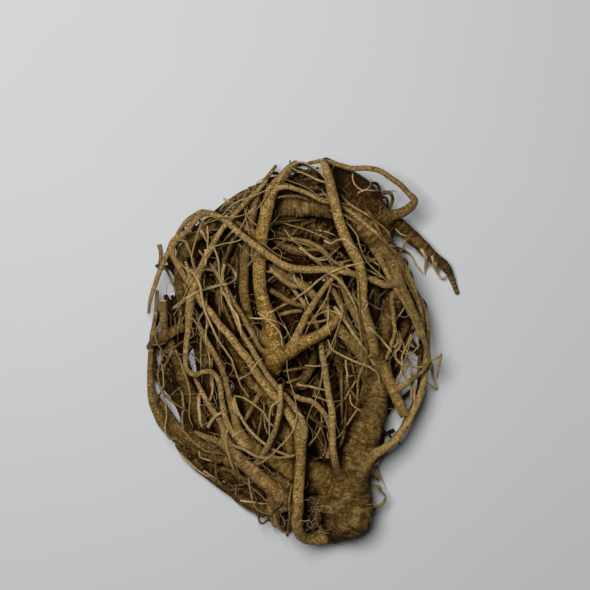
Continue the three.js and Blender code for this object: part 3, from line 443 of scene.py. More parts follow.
def closed_end(tube, row, way, flat):
    """Adds the shrinking rings that round off one end of a tube; way is 1 or -1 along it."""
    reach = flat * tube["radii"][row] * np.sin(TIP_RINGS)
    extra = {"middle": tube["middle"][row] + way * reach[:, None] * tube["ahead"][row],
             "radii": tube["radii"][row] * np.cos(TIP_RINGS),
             "lengths": tube["lengths"][row] + way * reach}
    for key in ("ahead", "across", "up"):
        extra[key] = np.repeat(tube[key][row][None], len(reach), axis=0)
    for key, rows in extra.items():
        both = (tube[key], rows) if way == 1 else (rows[::-1], tube[key])
        tube[key] = np.concatenate(both)


def plain_tube(name, seed):
    """The root's rings before its skin is raised: everything in millimetres."""
    step, sides = THICK_ROOTS.get(name) or (SIDE_ROOT_STEP, side_root_sides(name))
    places, radii, lengths = middle_line(ROOTS[name], step)
    places = wobbled(places, radii, lengths, seed)
    ahead, across, up = carried_frame(places)
    tube = {"name": name, "seed": seed, "middle": places, "radii": radii, "lengths": lengths,
            "ahead": ahead, "across": across, "up": up}
    closed_end(tube, -1, 1, BROKEN_END if name in BROKEN_ENDS else ROUND_END)
    if name == "main_root":
        closed_end(tube, 0, -1, ROUND_END)
    turn = np.linspace(0, 2 * math.pi, sides, endpoint=False)
    out = (tube["across"][:, None] * np.cos(turn)[None, :, None]
           + tube["up"][:, None] * np.sin(turn)[None, :, None])
    tube["turn"], tube["out"], tube["sides"] = turn, out, sides
    tube["skin"] = tube["middle"][:, None] + out * tube["radii"][:, None, None]
    return tube


tubes = {name: plain_tube(name, FIRST_SEED + SEED_STEP * k) for k, name in enumerate(HABIT)}
print("rings:", sum(len(t["middle"]) for t in tubes.values()),
      "points:", sum(t["skin"].size // 3 for t in tubes.values()))

# %% [markdown]
# ## Webs at the forks
# Two tubes that only cross meet in a hard crease, and a real fork has a web of flesh in it.
# Near the other root, each point of a skin is pushed out to the surface where the two roots'
# distances blend smoothly. The push fades inside the other root, so each skin dives under the
# other one right at the fork.

# %% Webs of flesh between a root and the one it leaves
WEB_WIDTH = {"shaded_root": 2.5}       # it only runs beside the leader, with a groove between
WIDEST_WEB = 9
WEB_REACH = 6               # how far from the fork a web can reach, in radii of the side root
WEB_PASSES = 3
BATCH = 4000                # points measured at a time, to spare memory


def distance_to(tube, rows, points):
    """Distance from each point to a stretch of a root's surface, and the way out of it."""
    best = np.full(len(points), np.inf)
    way = np.zeros_like(points)
    for start in range(0, len(points), BATCH):
        part = slice(start, start + BATCH)
        away = points[part, None, :] - tube["middle"][None, rows, :]
        far = np.sqrt((away * away).sum(axis=2))
        gap = far - tube["radii"][None, rows]
        nearest = gap.argmin(axis=1)
        pick = np.arange(len(nearest))
        best[part] = gap[pick, nearest]
        way[part] = away[pick, nearest] / far[pick, nearest][:, None]
    return best, way


def web(tube, other, rows, centre, reach, width):
    """Pushes the skin of tube outwards where it comes near the given stretch of other."""
    points = tube["skin"].reshape(-1, 3)
    near = np.flatnonzero(np.linalg.norm(points - centre, axis=1) < reach)
    if not len(near):
        return
    gap, _ = distance_to(other, rows, points[near])
    near = near[np.abs(gap) < width]
    ring = near // tube["sides"]
    start = points[near]
    moved = start.copy()
    for _ in range(WEB_PASSES):
        own = moved - tube["middle"][ring]
        own_far = np.linalg.norm(own, axis=1)
        own_gap = own_far - tube["radii"][ring]
        gap, way = distance_to(other, rows, moved)
        share = np.clip(1 - np.abs(own_gap - gap) / width, 0, 1)
        apart = np.minimum(own_gap, gap) - share * share * width / 4
        lean = np.where(own_gap < gap, 0.5 * share, 1 - 0.5 * share)[:, None]
        slope = (1 - lean) * own / own_far[:, None] + lean * way
        steep = np.maximum((slope * slope).sum(axis=1), 0.35)
        moved = moved + np.clip(-apart / steep, 0, 0.3 * width)[:, None] * slope
    gap, _ = distance_to(other, rows, start)
    fade = np.clip(1 + gap / (0.5 * width), 0, 1) ** 2
    points[near] = start + fade[:, None] * (moved - start)
    tube["skin"] = points.reshape(tube["skin"].shape)


for name, (parent, _, _) in HABIT.items():
    if parent:
        child, trunk = tubes[name], tubes[parent]
        base = child["radii"][0]
        where = np.linalg.norm(trunk["middle"] - child["middle"][0], axis=1)
        trunk_rows = np.flatnonzero(where < where.min() + WEB_REACH * base)[::2]
        reach = trunk["radii"][trunk_rows].max() + WEB_REACH * base
        child_rows = np.flatnonzero(child["lengths"] < reach)
        centre = child["middle"][child_rows[len(child_rows) // 2]]
        width = WEB_WIDTH.get(name, min(1.4 * base + 0.5, WIDEST_WEB))
        web(child, trunk, trunk_rows, centre, reach, width)
        web(trunk, child, child_rows[::2], centre, reach, width)
print("webs at", sum(1 for parent, _, _ in HABIT.values() if parent), "forks")

# %% [markdown]
# ## The living skin
# A bellflower root shrinks in length as it ages, which pulls its skin into fine rings across
# the root. Between them it swells and narrows, its section is never quite round, and old side
# roots leave knots and pits. All of that is real relief here: each point moves along its own
# direction out of the root, by noises that are measured along and round the root.

# %% Relief of the skin
RING_GAP = 0.165            # spacing of the fine rings, as a share of the root's radius
RING_GAP_RANGE = (0.9, 2.2)             # and in millimetres
RING_DEPTH = 0.052          # their depth, as a share of the radius
RINGED = {"main_root": 1.0, "rear_broad": 0.9, "right_brown": 1.1, "left_leader": 0.7,
          "front_branch": 0.7}
OTHER_RINGED = 0.5
LUMPS, SMALL_LUMPS, OVAL, FURROWS = 0.045, 0.022, 0.05, 0.038       # as shares of the radius
KNOT_AREA = 85              # square millimetres of bark to each knot


def wrapped(tube, round_wave, along):
    """Places on the skin for noise: round the root in waves, and along it as given."""
    radii = tube["radii"][:, None]
    x = radii * np.cos(tube["turn"])[None, :] / round_wave
    y = radii * np.sin(tube["turn"])[None, :] / round_wave
    z = np.broadcast_to(along[:, None], x.shape)
    return np.column_stack([x.ravel(), y.ravel(), z.ravel()])


def noise_on(tube, round_wave, along, number):
    """Noise at every point of the skin; the number tells it from the root's other noises."""
    return lattice_noise(wrapped(tube, round_wave, along), tube["seed"] + number)


def rings_and_hollows(tube):
    """Height of the fine rings in shares of the radius, and how deep each point lies, 0 to 1."""
    lengths = tube["lengths"]
    gap = np.clip(RING_GAP * tube["radii"], *RING_GAP_RANGE)
    phase = np.concatenate([[0], np.cumsum(np.diff(lengths) / gap[1:])])
    across = wrapped(tube, 9, phase * 0.8)
    across[:, 2] += 0.9 * noise_on(tube, 6, lengths / 6, 5)
    groove = np.exp(-(lattice_noise(across, tube["seed"] + 6) / 0.24) ** 2)
    patchy = 0.5 + 0.5 * noise_on(tube, 14, lengths / 10, 7)
    broad = noise_on(tube, 22, phase / 3.0, 8)
    strength = RINGED.get(tube["name"], OTHER_RINGED)
    height = strength * RING_DEPTH * (0.7 * broad - (0.4 + patchy) * groove)
    return height, np.clip(groove * (0.4 + patchy) * strength, 0, 1)


def swelling(tube):
    """Broad swellings, an oval section and furrows along the root, in shares of the radius."""
    lengths, girth = tube["lengths"], tube["radii"].mean()
    lumps = LUMPS * noise_on(tube, 2.4 * girth, lengths / (2.4 * girth), 9)
    small = SMALL_LUMPS * noise_on(tube, 0.9 * girth, lengths / (1.1 * girth), 10)
    drift = 3 * noise_along(lengths, 12 * girth, tube["seed"] + 11)[:, :1]
    oval = OVAL * np.cos(2 * tube["turn"][None, :] + drift)
    even = dict(tube, radii=np.ones(len(lengths)))
    furrows = FURROWS * noise_on(even, 0.6, lengths / (7 * girth), 12)
    return lumps + small + oval.ravel() + furrows


def knots(tube, rng):
    """Heights in millimetres and hollows of the scars that old side roots leave."""
    radii, lengths, turn = tube["radii"], tube["lengths"], tube["turn"]
    height = np.zeros((len(lengths), tube["sides"]))
    hollow = np.zeros_like(height)
    area = 2 * math.pi * radii.mean() * lengths[-1]
    for _ in range(int(area / KNOT_AREA)):
        row = rng.integers(4, len(lengths) - 8)
        at, angle = lengths[row], rng.uniform(0, 2 * math.pi)
        wide = rng.uniform(0.14, 0.26) * radii[row] ** 0.7 + 0.35
        rows = np.flatnonzero(np.abs(lengths - at) < 3 * wide)
        bend = (turn - angle + math.pi) % (2 * math.pi) - math.pi
        along = (lengths[rows] - at)[:, None] / (0.75 * wide)
        round_it = bend[None, :] * radii[row] / (1.35 * wide)
        far = np.sqrt(along ** 2 + round_it ** 2)
        rim = np.exp(-((far - 1) / 0.5) ** 2)
        pit = np.exp(-(far / 0.6) ** 2)
        tall = rng.uniform(0.04, 0.16) * wide
        height[rows] += tall * rim - 0.8 * tall * pit * (rng.random() < 0.6)
        hollow[rows] += 0.9 * pit
    return height.ravel(), np.clip(hollow, 0, 1).ravel()


# %% Raise the skin of every root
for tube in tubes.values():
    rng = np.random.default_rng(tube["seed"])
    ring_height, ring_hollow = rings_and_hollows(tube)
    knot_height, knot_hollow = knots(tube, rng)
    radius = np.repeat(tube["radii"], tube["sides"])
    height = radius * (swelling(tube) + ring_height) + np.minimum(knot_height, 0.2 * radius)
    points = tube["skin"].reshape(-1, 3) + height[:, None] * tube["out"].reshape(-1, 3)
    points[:, 2] = np.maximum(points[:, 2], 0)
    tube["skin"] = points
    tube["hollow"] = np.clip(ring_hollow + knot_hollow, 0, 1)
lowest = min(t["skin"][:, 2].min() for t in tubes.values())
print("skins raised; lowest point", round(float(lowest), 3), "mm")

# %% [markdown]
# ## How deep a place lies in the nest
# Rinsing reaches the outer roots best, so what lies deep in the nest keeps a little more soil;
# the bark there is darkened with that soil and with painted shade for the dim depths. A height
# map of the nest's top, smoothed out, tells how far below it a place lies.

# %% Height map of the nest
MAP_CELL = 2.0
MAP_LOW = np.array([-130.0, -154.0])
MAP_SHAPE = (131, 154)
SPREADS = 5                 # how often the tops are spread out over the gaps
DEEPEST = 22.0              # millimetres under the top where a root is as dark as it gets
# painted shade where the nest is open down to its bottom: x, y and size in mm, and how much darker
SHADED_OPENINGS = [(2, -42, 30, 0.7), (-34, -50, 15, 1.3)]
MAIN_POINTS = np.vstack([t["middle"][::2] for t in tubes.values()])
MAIN_RADII = np.concatenate([t["radii"][::2] for t in tubes.values()])


def height_map():
    """Height of the highest skin over each cell of the map, spread out over the gaps."""
    tops = np.zeros(MAP_SHAPE)
    for (x, y, z), radius in zip(MAIN_POINTS, MAIN_RADII):
        near = int(radius / MAP_CELL) + 1
        column, row = np.round((np.array([x, y]) - MAP_LOW) / MAP_CELL).astype(int)
        part = tops[column - near:column + near + 1, row - near:row + near + 1]
        across = (np.arange(-near, near + 1) * MAP_CELL) ** 2
        under = across[:, None] + across[None, :] < max(radius, 0.5 * MAP_CELL) ** 2
        part[under] = np.maximum(part[under], z + 0.8 * radius)
    covered = tops > 0
    for _ in range(SPREADS):
        wide = np.pad(tops, 1, mode="edge")
        around = sum(wide[a:a + MAP_SHAPE[0], b:b + MAP_SHAPE[1]] for a in range(3) for b in range(3))
        tops = np.maximum(tops, around / 9)
    return tops, covered


NEST_TOPS, NEST_COVER = height_map()


def depth_in_nest(points):
    """0 at the top of the nest, 1 where it is deepest, and more in its open hollows."""
    cell = np.clip((points[:, :2] - MAP_LOW) / MAP_CELL, 0, np.array(MAP_SHAPE) - 1).astype(int)
    depth = np.clip((NEST_TOPS[cell[:, 0], cell[:, 1]] - points[:, 2]) / DEEPEST, 0, 1) ** 1.25
    more = np.ones(len(points))
    for x, y, size, darker in SHADED_OPENINGS:
        far = np.hypot(points[:, 0] - x, points[:, 1] - y) / size
        more += darker * np.exp(-far ** 2)
    return depth * more


print("nest tops up to", round(float(NEST_TOPS.max()), 1), "mm")

# %% [markdown]
# ## From rings to meshes
# The rings of a tube are joined by four-sided faces, and each end is closed by a fan. What the
# material needs to know of each point travels with the mesh as attributes: where it is round
# and along the root in millimetres, how reddish and how dark the bark is there, how deep in a
# groove the point lies, and where pale flesh shows.

# %% One mesh from several tubes
DEEP_SHADE_AND_SOIL = 1.45          # painted shade and soil: how much darker the bark is at the bottom of the nest
# the right leader's old bark has rusted at one place, and the roots near the crown are browner
RUSTY_PLACE, RUSTY_SIZE, RUSTY = np.array([-4.0, 107.0]), 16, 0.35
CROWN_PLACE, CROWN_SIZE, CROWN_BROWNER = np.array([26.0, -98.0]), 24, 0.26
SCARS = {"main_root": [(37, -128, 3.4), (46, -121, 2.0)]}     # x, y and size of broken bark
SCARS_ABOVE, SCAR_FLESH = 12, 0.18      # lowest height, and how much flesh shows in them
PALE_UNDER, PALEST = 6, 0.6     # roots under this radius are paler, at most this much


def scarred(name, skin):
    """0 to 1, where the upper bark is broken and shows flesh."""
    broken = np.zeros(len(skin))
    for x, y, size in SCARS.get(name, ()):
        far = np.hypot(skin[:, 0] - x, skin[:, 1] - y) / size
        ragged = 1.2 - far + 0.8 * lattice_noise(skin / 1.6, 77)
        broken = np.maximum(broken, np.clip(2 * ragged, 0, 1) * (skin[:, 2] > SCARS_ABOVE))
    return broken


def nearness(tube, place, size):
    """1 at the place and falling off around it, for every point of a tube."""
    far = np.linalg.norm(tube["skin"][:, :2] - place, axis=1)
    return np.exp(-(far / size) ** 2)


def tints_of(tube):
    """Attributes of every point of a tube, ends included."""
    name, radii, lengths = tube["name"], tube["radii"], tube["lengths"]
    parent, own_reddish, own_dark = HABIT[name]
    _, reddish, dark = HABIT[parent or name]
    girth = tubes[parent or name]["radii"].mean()
    grown = np.clip((lengths - girth) / (4 * radii[0]), 0, 1)
    cut = np.zeros(len(lengths))
    if name in BROKEN_ENDS:
        cut[-3:] = 1
    rows = {"reddish": reddish + grown * (own_reddish - reddish),
            "dark": dark + grown * (own_dark - dark), "cut": cut,
            "pale": np.clip((PALE_UNDER - radii) / PALE_UNDER, 0, 1) * PALEST}
    points = {key: np.repeat(value, tube["sides"]) for key, value in rows.items()}
    if name == "main_root":
        points["reddish"] = points["reddish"] + RUSTY * nearness(tube, RUSTY_PLACE, RUSTY_SIZE)
    points["cut"] = np.maximum(points["cut"], SCAR_FLESH * scarred(name, tube["skin"]))
    points["hollow"] = tube["hollow"]
    if parent == "main_root":
        points["dark"] = points["dark"] + CROWN_BROWNER * nearness(tube, CROWN_PLACE, CROWN_SIZE)
    # painted shade, with some soil, the deeper the point lies in the nest
    points["dark"] = points["dark"] + DEEP_SHADE_AND_SOIL * depth_in_nest(tube["skin"])
    shift = 37 * tube["seed"] % 911         # so that no two roots have the same pattern
    place = wrapped(tube, 1, lengths + shift)
    fans = {key: np.append(value, [value[0], value[-1]]) for key, value in points.items()}
    fans["place"] = np.vstack([place, [0, 0, place[0, 2]], [0, 0, place[-1, 2]]])
    return fans


def skin_faces(rings, sides):
    """Four-sided faces between the rings, and a fan at each end, all facing out."""
    k, j = np.meshgrid(np.arange(rings - 1), np.arange(sides), indexing="ij")
    after = (j + 1) % sides
    quads = np.stack([k * sides + j, k * sides + after, (k + 1) * sides + after,
                      (k + 1) * sides + j], axis=-1).reshape(-1, 4)
    j = np.arange(sides)
    after = (j + 1) % sides
    last = (rings - 1) * sides
    near = np.column_stack([after, j, np.full(sides, rings * sides)])
    far = np.column_stack([last + j, last + after, np.full(sides, rings * sides + 1)])
    return quads, np.vstack([near, far])


def give_attributes(mesh, attributes):
    """Keeps numbers, or rows of three numbers, at the points of a mesh."""
    for key, values in attributes.items():
        kind, field = ("FLOAT_VECTOR", "vector") if values.ndim == 2 else ("FLOAT", "value")
        layer = mesh.attributes.new(key, kind, "POINT")
        layer.data.foreach_set(field, values.astype(np.float32).ravel())


def mesh_from(name, points, quads, fans, attributes):
    """A Blender mesh in metres, smooth shaded, with its point attributes."""
    mesh = bpy.data.meshes.new(name)
    mesh.vertices.add(len(points))
    mesh.vertices.foreach_set("co", (points * MM).astype(np.float32).ravel())
    mesh.loops.add(quads.size + fans.size)
    mesh.loops.foreach_set("vertex_index", np.concatenate([quads.ravel(), fans.ravel()]))
    starts = np.concatenate([np.arange(len(quads)) * 4, quads.size + np.arange(len(fans)) * 3])
    mesh.polygons.add(len(starts))
    mesh.polygons.foreach_set("loop_start", starts)
    mesh.update(calc_edges=True)
    mesh.polygons.foreach_set("use_smooth", np.ones(len(starts), bool))
    give_attributes(mesh, attributes)
    return mesh


def joined_tubes(name, names):
    """One mesh of several tubes."""
    points, quads, fans, attributes = [], [], [], {}
    count = 0
    for tube in (tubes[n] for n in names):
        rings = len(tube["middle"])
        ends = [tube["skin"][:tube["sides"]].mean(axis=0), tube["skin"][-tube["sides"]:].mean(axis=0)]
        ends[1] = ends[1] + 0.1 * tube["radii"][-1] * tube["ahead"][-1]
        points += [tube["skin"], np.array(ends)]
        four, three = skin_faces(rings, tube["sides"])
        quads.append(four + count)
        fans.append(three + count)
        for key, value in tints_of(tube).items():
            attributes.setdefault(key, []).append(value)
        count += rings * tube["sides"] + 2
    joined = {key: np.concatenate(value) for key, value in attributes.items()}
    return mesh_from(name, np.vstack(points), np.vstack(quads), np.vstack(fans), joined)


def triangles(mesh):
    """How many triangles the mesh's faces make."""
    return len(mesh.loops) - 2 * len(mesh.polygons)


def in_scene(name, data):
    """A new object, linked to the scene."""
    thing = bpy.data.objects.new(name, data)
    bpy.context.scene.collection.objects.link(thing)
    return thing


print("attributes of a tube:", ", ".join(tints_of(tubes["long_root"])))

# %% Sort the roots into pieces
def trunk_of(name):
    """The thick root that a side root belongs to."""
    while name not in THICK_ROOTS:
        name = HABIT[name][0]
    return name


def side_roots_of(*trunks):
    """Names of the side roots that belong to any of these thick roots."""
    return [name for name in HABIT if name not in THICK_ROOTS and trunk_of(name) in trunks]


RIGHT_AND_REAR = side_roots_of("main_root", "rear_broad")
PIECES = {
    "crown_and_right_leader": ["main_root"],
    "left_leader_and_long_root": ["left_leader", "front_branch", "long_root", "rear_broad"],
    "side_roots_left": side_roots_of("left_leader", "long_root"),
    "side_roots_front": side_roots_of("front_branch"),
    "side_roots_right": RIGHT_AND_REAR[::2],
    "side_roots_rear": RIGHT_AND_REAR[1::2],
}
pieces = {}
for piece_name, names in PIECES.items():
    pieces[piece_name] = in_scene(piece_name, joined_tubes(piece_name, names))
    print(piece_name, len(names), "roots", triangles(pieces[piece_name].data), "triangles")

# %% [markdown]
# ## Room in the nest
# Fine roots and hairs must find their way between the thick ones. A coarse grid holds the
# distance from each place to the nearest root's surface, and its slope points to where there
# is more room.

# %% The distance grid
CELL = 1.6
GRID_LOW = np.array([-130.0, -154.0, -4.0])
GRID_SHAPE = (164, 194, 42)


def distance_grid(reach=7.0):
    """Distance to the nearest root's surface at each grid point, up to reach."""
    grid = np.full(GRID_SHAPE, reach)
    for centre, radius in zip(MAIN_POINTS, MAIN_RADII):
        low = np.maximum(np.floor((centre - radius - reach - GRID_LOW) / CELL), 0).astype(int)
        high = np.minimum(np.ceil((centre + radius + reach - GRID_LOW) / CELL) + 1,
                          GRID_SHAPE).astype(int)
        x, y, z = (GRID_LOW[a] + CELL * np.arange(low[a], high[a]) - centre[a] for a in range(3))
        far = np.sqrt(x[:, None, None] ** 2 + y[None, :, None] ** 2 + z[None, None, :] ** 2)
        part = grid[low[0]:high[0], low[1]:high[1], low[2]:high[2]]
        np.minimum(part, far - radius, out=part)
    return grid


room = distance_grid()
room_slope = np.gradient(room, CELL)


def at_grid(grid, points):
    """The grid's value at each point, blended between its eight neighbours."""
    place = np.clip((points - GRID_LOW) / CELL, 0, np.array(GRID_SHAPE) - 1.001)
    cell = place.astype(int)
    share = place - cell
    total = np.zeros(len(points))
    for bits in CORNERS:
        weight = np.prod(np.where(bits, share, 1 - share), axis=1)
        x, y, z = (cell + bits).T
        total += weight * grid[x, y, z]
    return total


def out_of_roots(points):
    """Direction away from the nearest root at each point."""
    slope = np.column_stack([at_grid(part, points) for part in room_slope])
    return slope / (np.linalg.norm(slope, axis=1)[:, None] + 1e-6)


print("grid points inside a root:", int((room < 0).sum()))

# %% [markdown]
# ## Fine roots and hairs find their way
# A fine root is a walk: it goes on in its own direction, sways, follows the swirl of the nest,
# sinks a little, and turns away from whatever it touches. All of them take their steps at the
# same time, so the whole nest is done in a few hundred small sums.

# %% The outline of the nest and the way its roots run
HUB = np.array([-5.0, 8.0, 0.0])              # the middle of the nest's swirl
NEST_EDGE = np.array([
    (94, -26), (95, 4), (94, 30), (88, 48), (74, 72), (64, 94), (60, 116), (48, 126), (34, 135),
    (19, 144), (-4, 144), (-26, 133), (-41, 126), (-60, 112), (-79, 101), (-98, 86), (-112, 79),
    (-114, 60), (-112, 38), (-115, 0), (-112, -37), (-111, -55), (-103, -71), (-90, -86),
    (-75, -99), (-60, -106), (-45, -118), (-30, -128), (-8, -141), (20, -143), (37, -140),
    (51, -122), (52, -98), (60, -82), (71, -71), (84, -50)])
EDGE_WAYS = np.arctan2(*(NEST_EDGE - HUB[:2]).T[::-1])
EDGE_ORDER = np.argsort(EDGE_WAYS)
EDGE_REACH = np.linalg.norm(NEST_EDGE - HUB[:2], axis=1)
FLOW_WAYS = np.vstack([t["ahead"][::2] for t in tubes.values()])[::6]
FLOW_POINTS = MAIN_POINTS[::6]


def beyond_edge(places):
    """How far each place lies outside the nest's outline; negative inside it."""
    flat = places[:, :2] - HUB[:2]
    reach = np.interp(np.arctan2(flat[:, 1], flat[:, 0]), EDGE_WAYS[EDGE_ORDER],
                      EDGE_REACH[EDGE_ORDER], period=2 * math.pi)
    return np.linalg.norm(flat, axis=1) - reach


def along_nearest(places, heading):
    """The way the nearest thick root runs, turned to suit the heading."""
    far = ((places[:, None] - FLOW_POINTS[None]) ** 2).sum(axis=2)
    ways = FLOW_WAYS[far.argmin(axis=1)]
    return ways * np.where((ways * heading).sum(axis=1) < 0, -1.0, 1.0)[:, None]


print("outline of", len(NEST_EDGE), "places;", len(FLOW_POINTS), "places to follow")

# %% Walks
EDGE_MARGIN = 8.0           # how far inside the outline the walkers begin to turn back
TURN_BACK, CALL_BACK = 0.3, 0.35        # how hard they turn at the outline, and when too far off
SWAY_KEPT, SWAY_NEW = 0.82, 0.57        # each sway is part of the last one, part chance
ELBOW_ROOM, SOFTNESS = 0.6, 1.5         # how near to a root they turn away, and how gently
SLIDE, HIGHEST = 0.6, 55    # most push out of a root in steps, and height over the table


def walk(starts, headings, radii, counts, step, rng, habit):
    """Rows of places for every walker.

    habit gives how much each sways, swirls round the hub, follows the nearest root and sinks,
    and how far from any root it may stray.
    """
    places, heading = starts.copy(), headings.copy()
    spin = np.where(np.cross(starts - HUB, headings)[:, 2] > 0, 1.0, -1.0)
    sway = np.zeros_like(places)
    track = [places.copy()]
    for _ in range(int(counts.max())):
        sway = SWAY_KEPT * sway + SWAY_NEW * rng.normal(size=places.shape)
        from_hub = places - HUB
        swirl = np.column_stack([-from_hub[:, 1], from_hub[:, 0], 0 * spin])
        swirl *= (spin / (np.linalg.norm(swirl, axis=1) + 1e-6))[:, None]
        clear = at_grid(room, places)
        away = out_of_roots(places)
        turn = habit["sway"] * sway + habit["swirl"] * swirl
        turn += habit["follow"] * along_nearest(places, heading)
        outside = np.clip(1 + beyond_edge(places) / EDGE_MARGIN, 0, 2)
        pull = TURN_BACK * outside / (np.linalg.norm(from_hub, axis=1) + 1e-6)
        turn -= pull[:, None] * from_hub
        turn[:, 2] -= habit["sink"]
        turn += np.clip((radii + ELBOW_ROOM - clear) / SOFTNESS, 0, 1)[:, None] * away
        turn -= (habit["stray"] < clear)[:, None] * CALL_BACK * away
        heading = unit(heading + turn)
        places = places + step * heading
        inside = np.maximum(radii - at_grid(room, places), 0)
        places = places + np.minimum(inside, SLIDE * step)[:, None] * out_of_roots(places)
        places[:, 2] = np.clip(places[:, 2], radii, HIGHEST - radii)
        track.append(places.copy())
    track = np.array(track)
    return [track[:int(n) + 1, k] for k, n in enumerate(counts)]


FIRST_RING, LAST_RING = 8, -12          # thin roots start between these rings of a root,
START_DEPTH = 0.6                       # and this far out from its middle, in its radii


def starts_on_roots(number, rng, below=60.0):
    """Starts in the roots, with the ways out of and along them and the roots' names."""
    rings = [(name, row) for name in HABIT
             for row in range(len(tubes[name]["middle"]))[FIRST_RING:LAST_RING]]
    middles = np.vstack([tubes[name]["middle"][FIRST_RING:LAST_RING] for name in HABIT])
    allowed = np.flatnonzero((middles[:, 2] < below) & (beyond_edge(middles) < -EDGE_MARGIN))
    places, ways, alongs, roots = [], [], [], []
    for pick in rng.choice(allowed, number):
        name, row = rings[pick]
        tube = tubes[name]
        out = tube["out"][row, rng.integers(tube["sides"])]
        places.append(tube["middle"][row] + START_DEPTH * tube["radii"][row] * out)
        ways.append(out)
        alongs.append(tube["ahead"][row])
        roots.append(name)
    return np.array(places), np.array(ways), np.array(alongs), roots


def thread(places, radii, reddish=0.1, dark=0.2, pale=0.6):
    """One thin root for the threads below: places, radii and its tints."""
    return {"places": places, "radii": radii, "reddish": reddish, "dark": dark, "pale": pale}


def tapered(count, thick, end_share):
    """Radii that thin out along a root."""
    return thick * (1 - (1 - end_share) * np.linspace(0, 1, count) ** 1.3)


# %% Fine roots
def grown_walks(number, rng, below, thick, length, step, habit):
    """Threads that leave the roots lower than below, and follow them."""
    places, ways, alongs, owners = starts_on_roots(number, rng, below)
    alongs = alongs * rng.choice([-1.0, 1.0], number)[:, None]
    headings = alongs + 0.45 * ways + 0.12 * rng.normal(size=ways.shape)
    headings[:, 2] *= 0.4
    counts = (rng.uniform(*length, number) / step).astype(int)
    return walk(places, unit(headings), thick, counts, step, rng, habit), owners


BARE_ABOVE = 24             # the upper bark of the crown and of the right leader stays bare
CROWN_LEFT, CROWN_BACK = 12, -98
LEADER_LEFT, LEADER_LEAN = 26, 0.3      # its left side at LEADER_START, and how that slants
LEADER_START, LEADER_END = -100, 0
# openings where the table shows: x, y and size
BARE_TABLE = np.array([(72, -52, 9.5), (57, 13, 6), (-85, -9, 5), (-104, 49, 6), (82, -16, 12),
                       (-96, -49, 5), (-86, -60, 4)])


def beyond_openings(points, margin=0):
    """Whether each point lies clear of every opening by the margin, seen from above."""
    far = np.linalg.norm(points[:, None, :2] - BARE_TABLE[None, :, :2], axis=2)
    return (far > BARE_TABLE[:, 2] + margin).all(axis=1)


def keeps_off(track):
    """Whether a track stays off the bare bark and off the openings."""
    x, y, z = track.T
    on_leader = (x > LEADER_LEFT + LEADER_LEAN * (y - LEADER_START)) & (y < LEADER_END)
    on_crown = (x > CROWN_LEFT) & (y < CROWN_BACK)
    on_bark = (z > BARE_ABOVE) & (on_leader | on_crown)
    return not on_bark.any() and beyond_openings(track).all()


rng = np.random.default_rng(2024)
FINE_ROOTS = 130
DRAPED = {"sway": 0.03, "swirl": 0.02, "follow": 0.07, "sink": 0.04, "stray": 7.0}
thick = 0.45 + 0.95 * rng.beta(1.4, 2.2, FINE_ROOTS)
tracks, owners = grown_walks(FINE_ROOTS, rng, below=60.0, thick=thick, length=(45, 150),
                             step=1.6, habit=DRAPED)
fine_threads = [thread(track, tapered(len(track), r, 0.35), HABIT[owner][1],
                       0.5 * HABIT[owner][2] + rng.uniform(0, 0.2), rng.uniform(0.2, 0.9))
                for track, r, owner in zip(tracks, thick, owners) if keeps_off(track)]
print(len(fine_threads), "fine roots")

# %% Roots deep in the nest
DEEP_ROOTS = 190
BURIED = {"sway": 0.03, "swirl": 0.02, "follow": 0.08, "sink": 0.08, "stray": 90.0}
thick = rng.uniform(0.8, 1.5, DEEP_ROOTS)
tracks, owners = grown_walks(DEEP_ROOTS, rng, below=20.0, thick=thick, length=(60, 160),
                             step=2.0, habit=BURIED)
# these roots are tinted dark as painted shade for the bottom of the nest
deep_threads = [thread(track, tapered(len(track), r, 0.5), HABIT[owner][1], rng.uniform(0.3, 0.7),
                       rng.uniform(0.0, 0.3))
                for track, r, owner in zip(tracks, thick, owners) if keeps_off(track)]
print(len(deep_threads), "deep roots")

# %% Roots that pass under the gaps
UNDER_EACH = 60             # threads in each round
UNDER_LENGTHS = (16, 14, 12, 10, 8, 6, 5, 5, 5)      # longest half of a thread in each, in steps
UNDER_STEP = 2.8
UNDER_INSET = 12.0          # how far inside the outline they start
FRONT_EDGE, FRONT_INSET = -60.0, 6.0    # and how far in front of this edge


def mark_cover(cover, threads):
    """Marks the cells of the map that the threads hide, if they are thick enough to."""
    for row in threads:
        flat = (row["places"][:, :2] - MAP_LOW) / MAP_CELL
        for step in np.ndindex(3, 3):
            cell = np.round(flat).astype(int) + step - 1
            hidden = np.linalg.norm(cell - flat, axis=1) * MAP_CELL < row["radii"] - 0.5
            cover[tuple(cell[hidden].T)] = True


def gap_places(number, rng, cover):
    """Places low in the nest where nothing covers the table yet."""
    spots = np.argwhere(~cover) * MAP_CELL + MAP_LOW
    spots = np.column_stack([spots, np.zeros(len(spots))])
    inset = np.where(spots[:, 1] < FRONT_EDGE, FRONT_INSET, UNDER_INSET)
    spots = spots[(beyond_edge(spots) < -inset) & beyond_openings(spots, margin=2)]
    print(len(spots), "cells of the table still show")
    spots = spots[rng.choice(len(spots), number)]
    spots[:, 2] = rng.uniform(2, 8, number)
    return spots


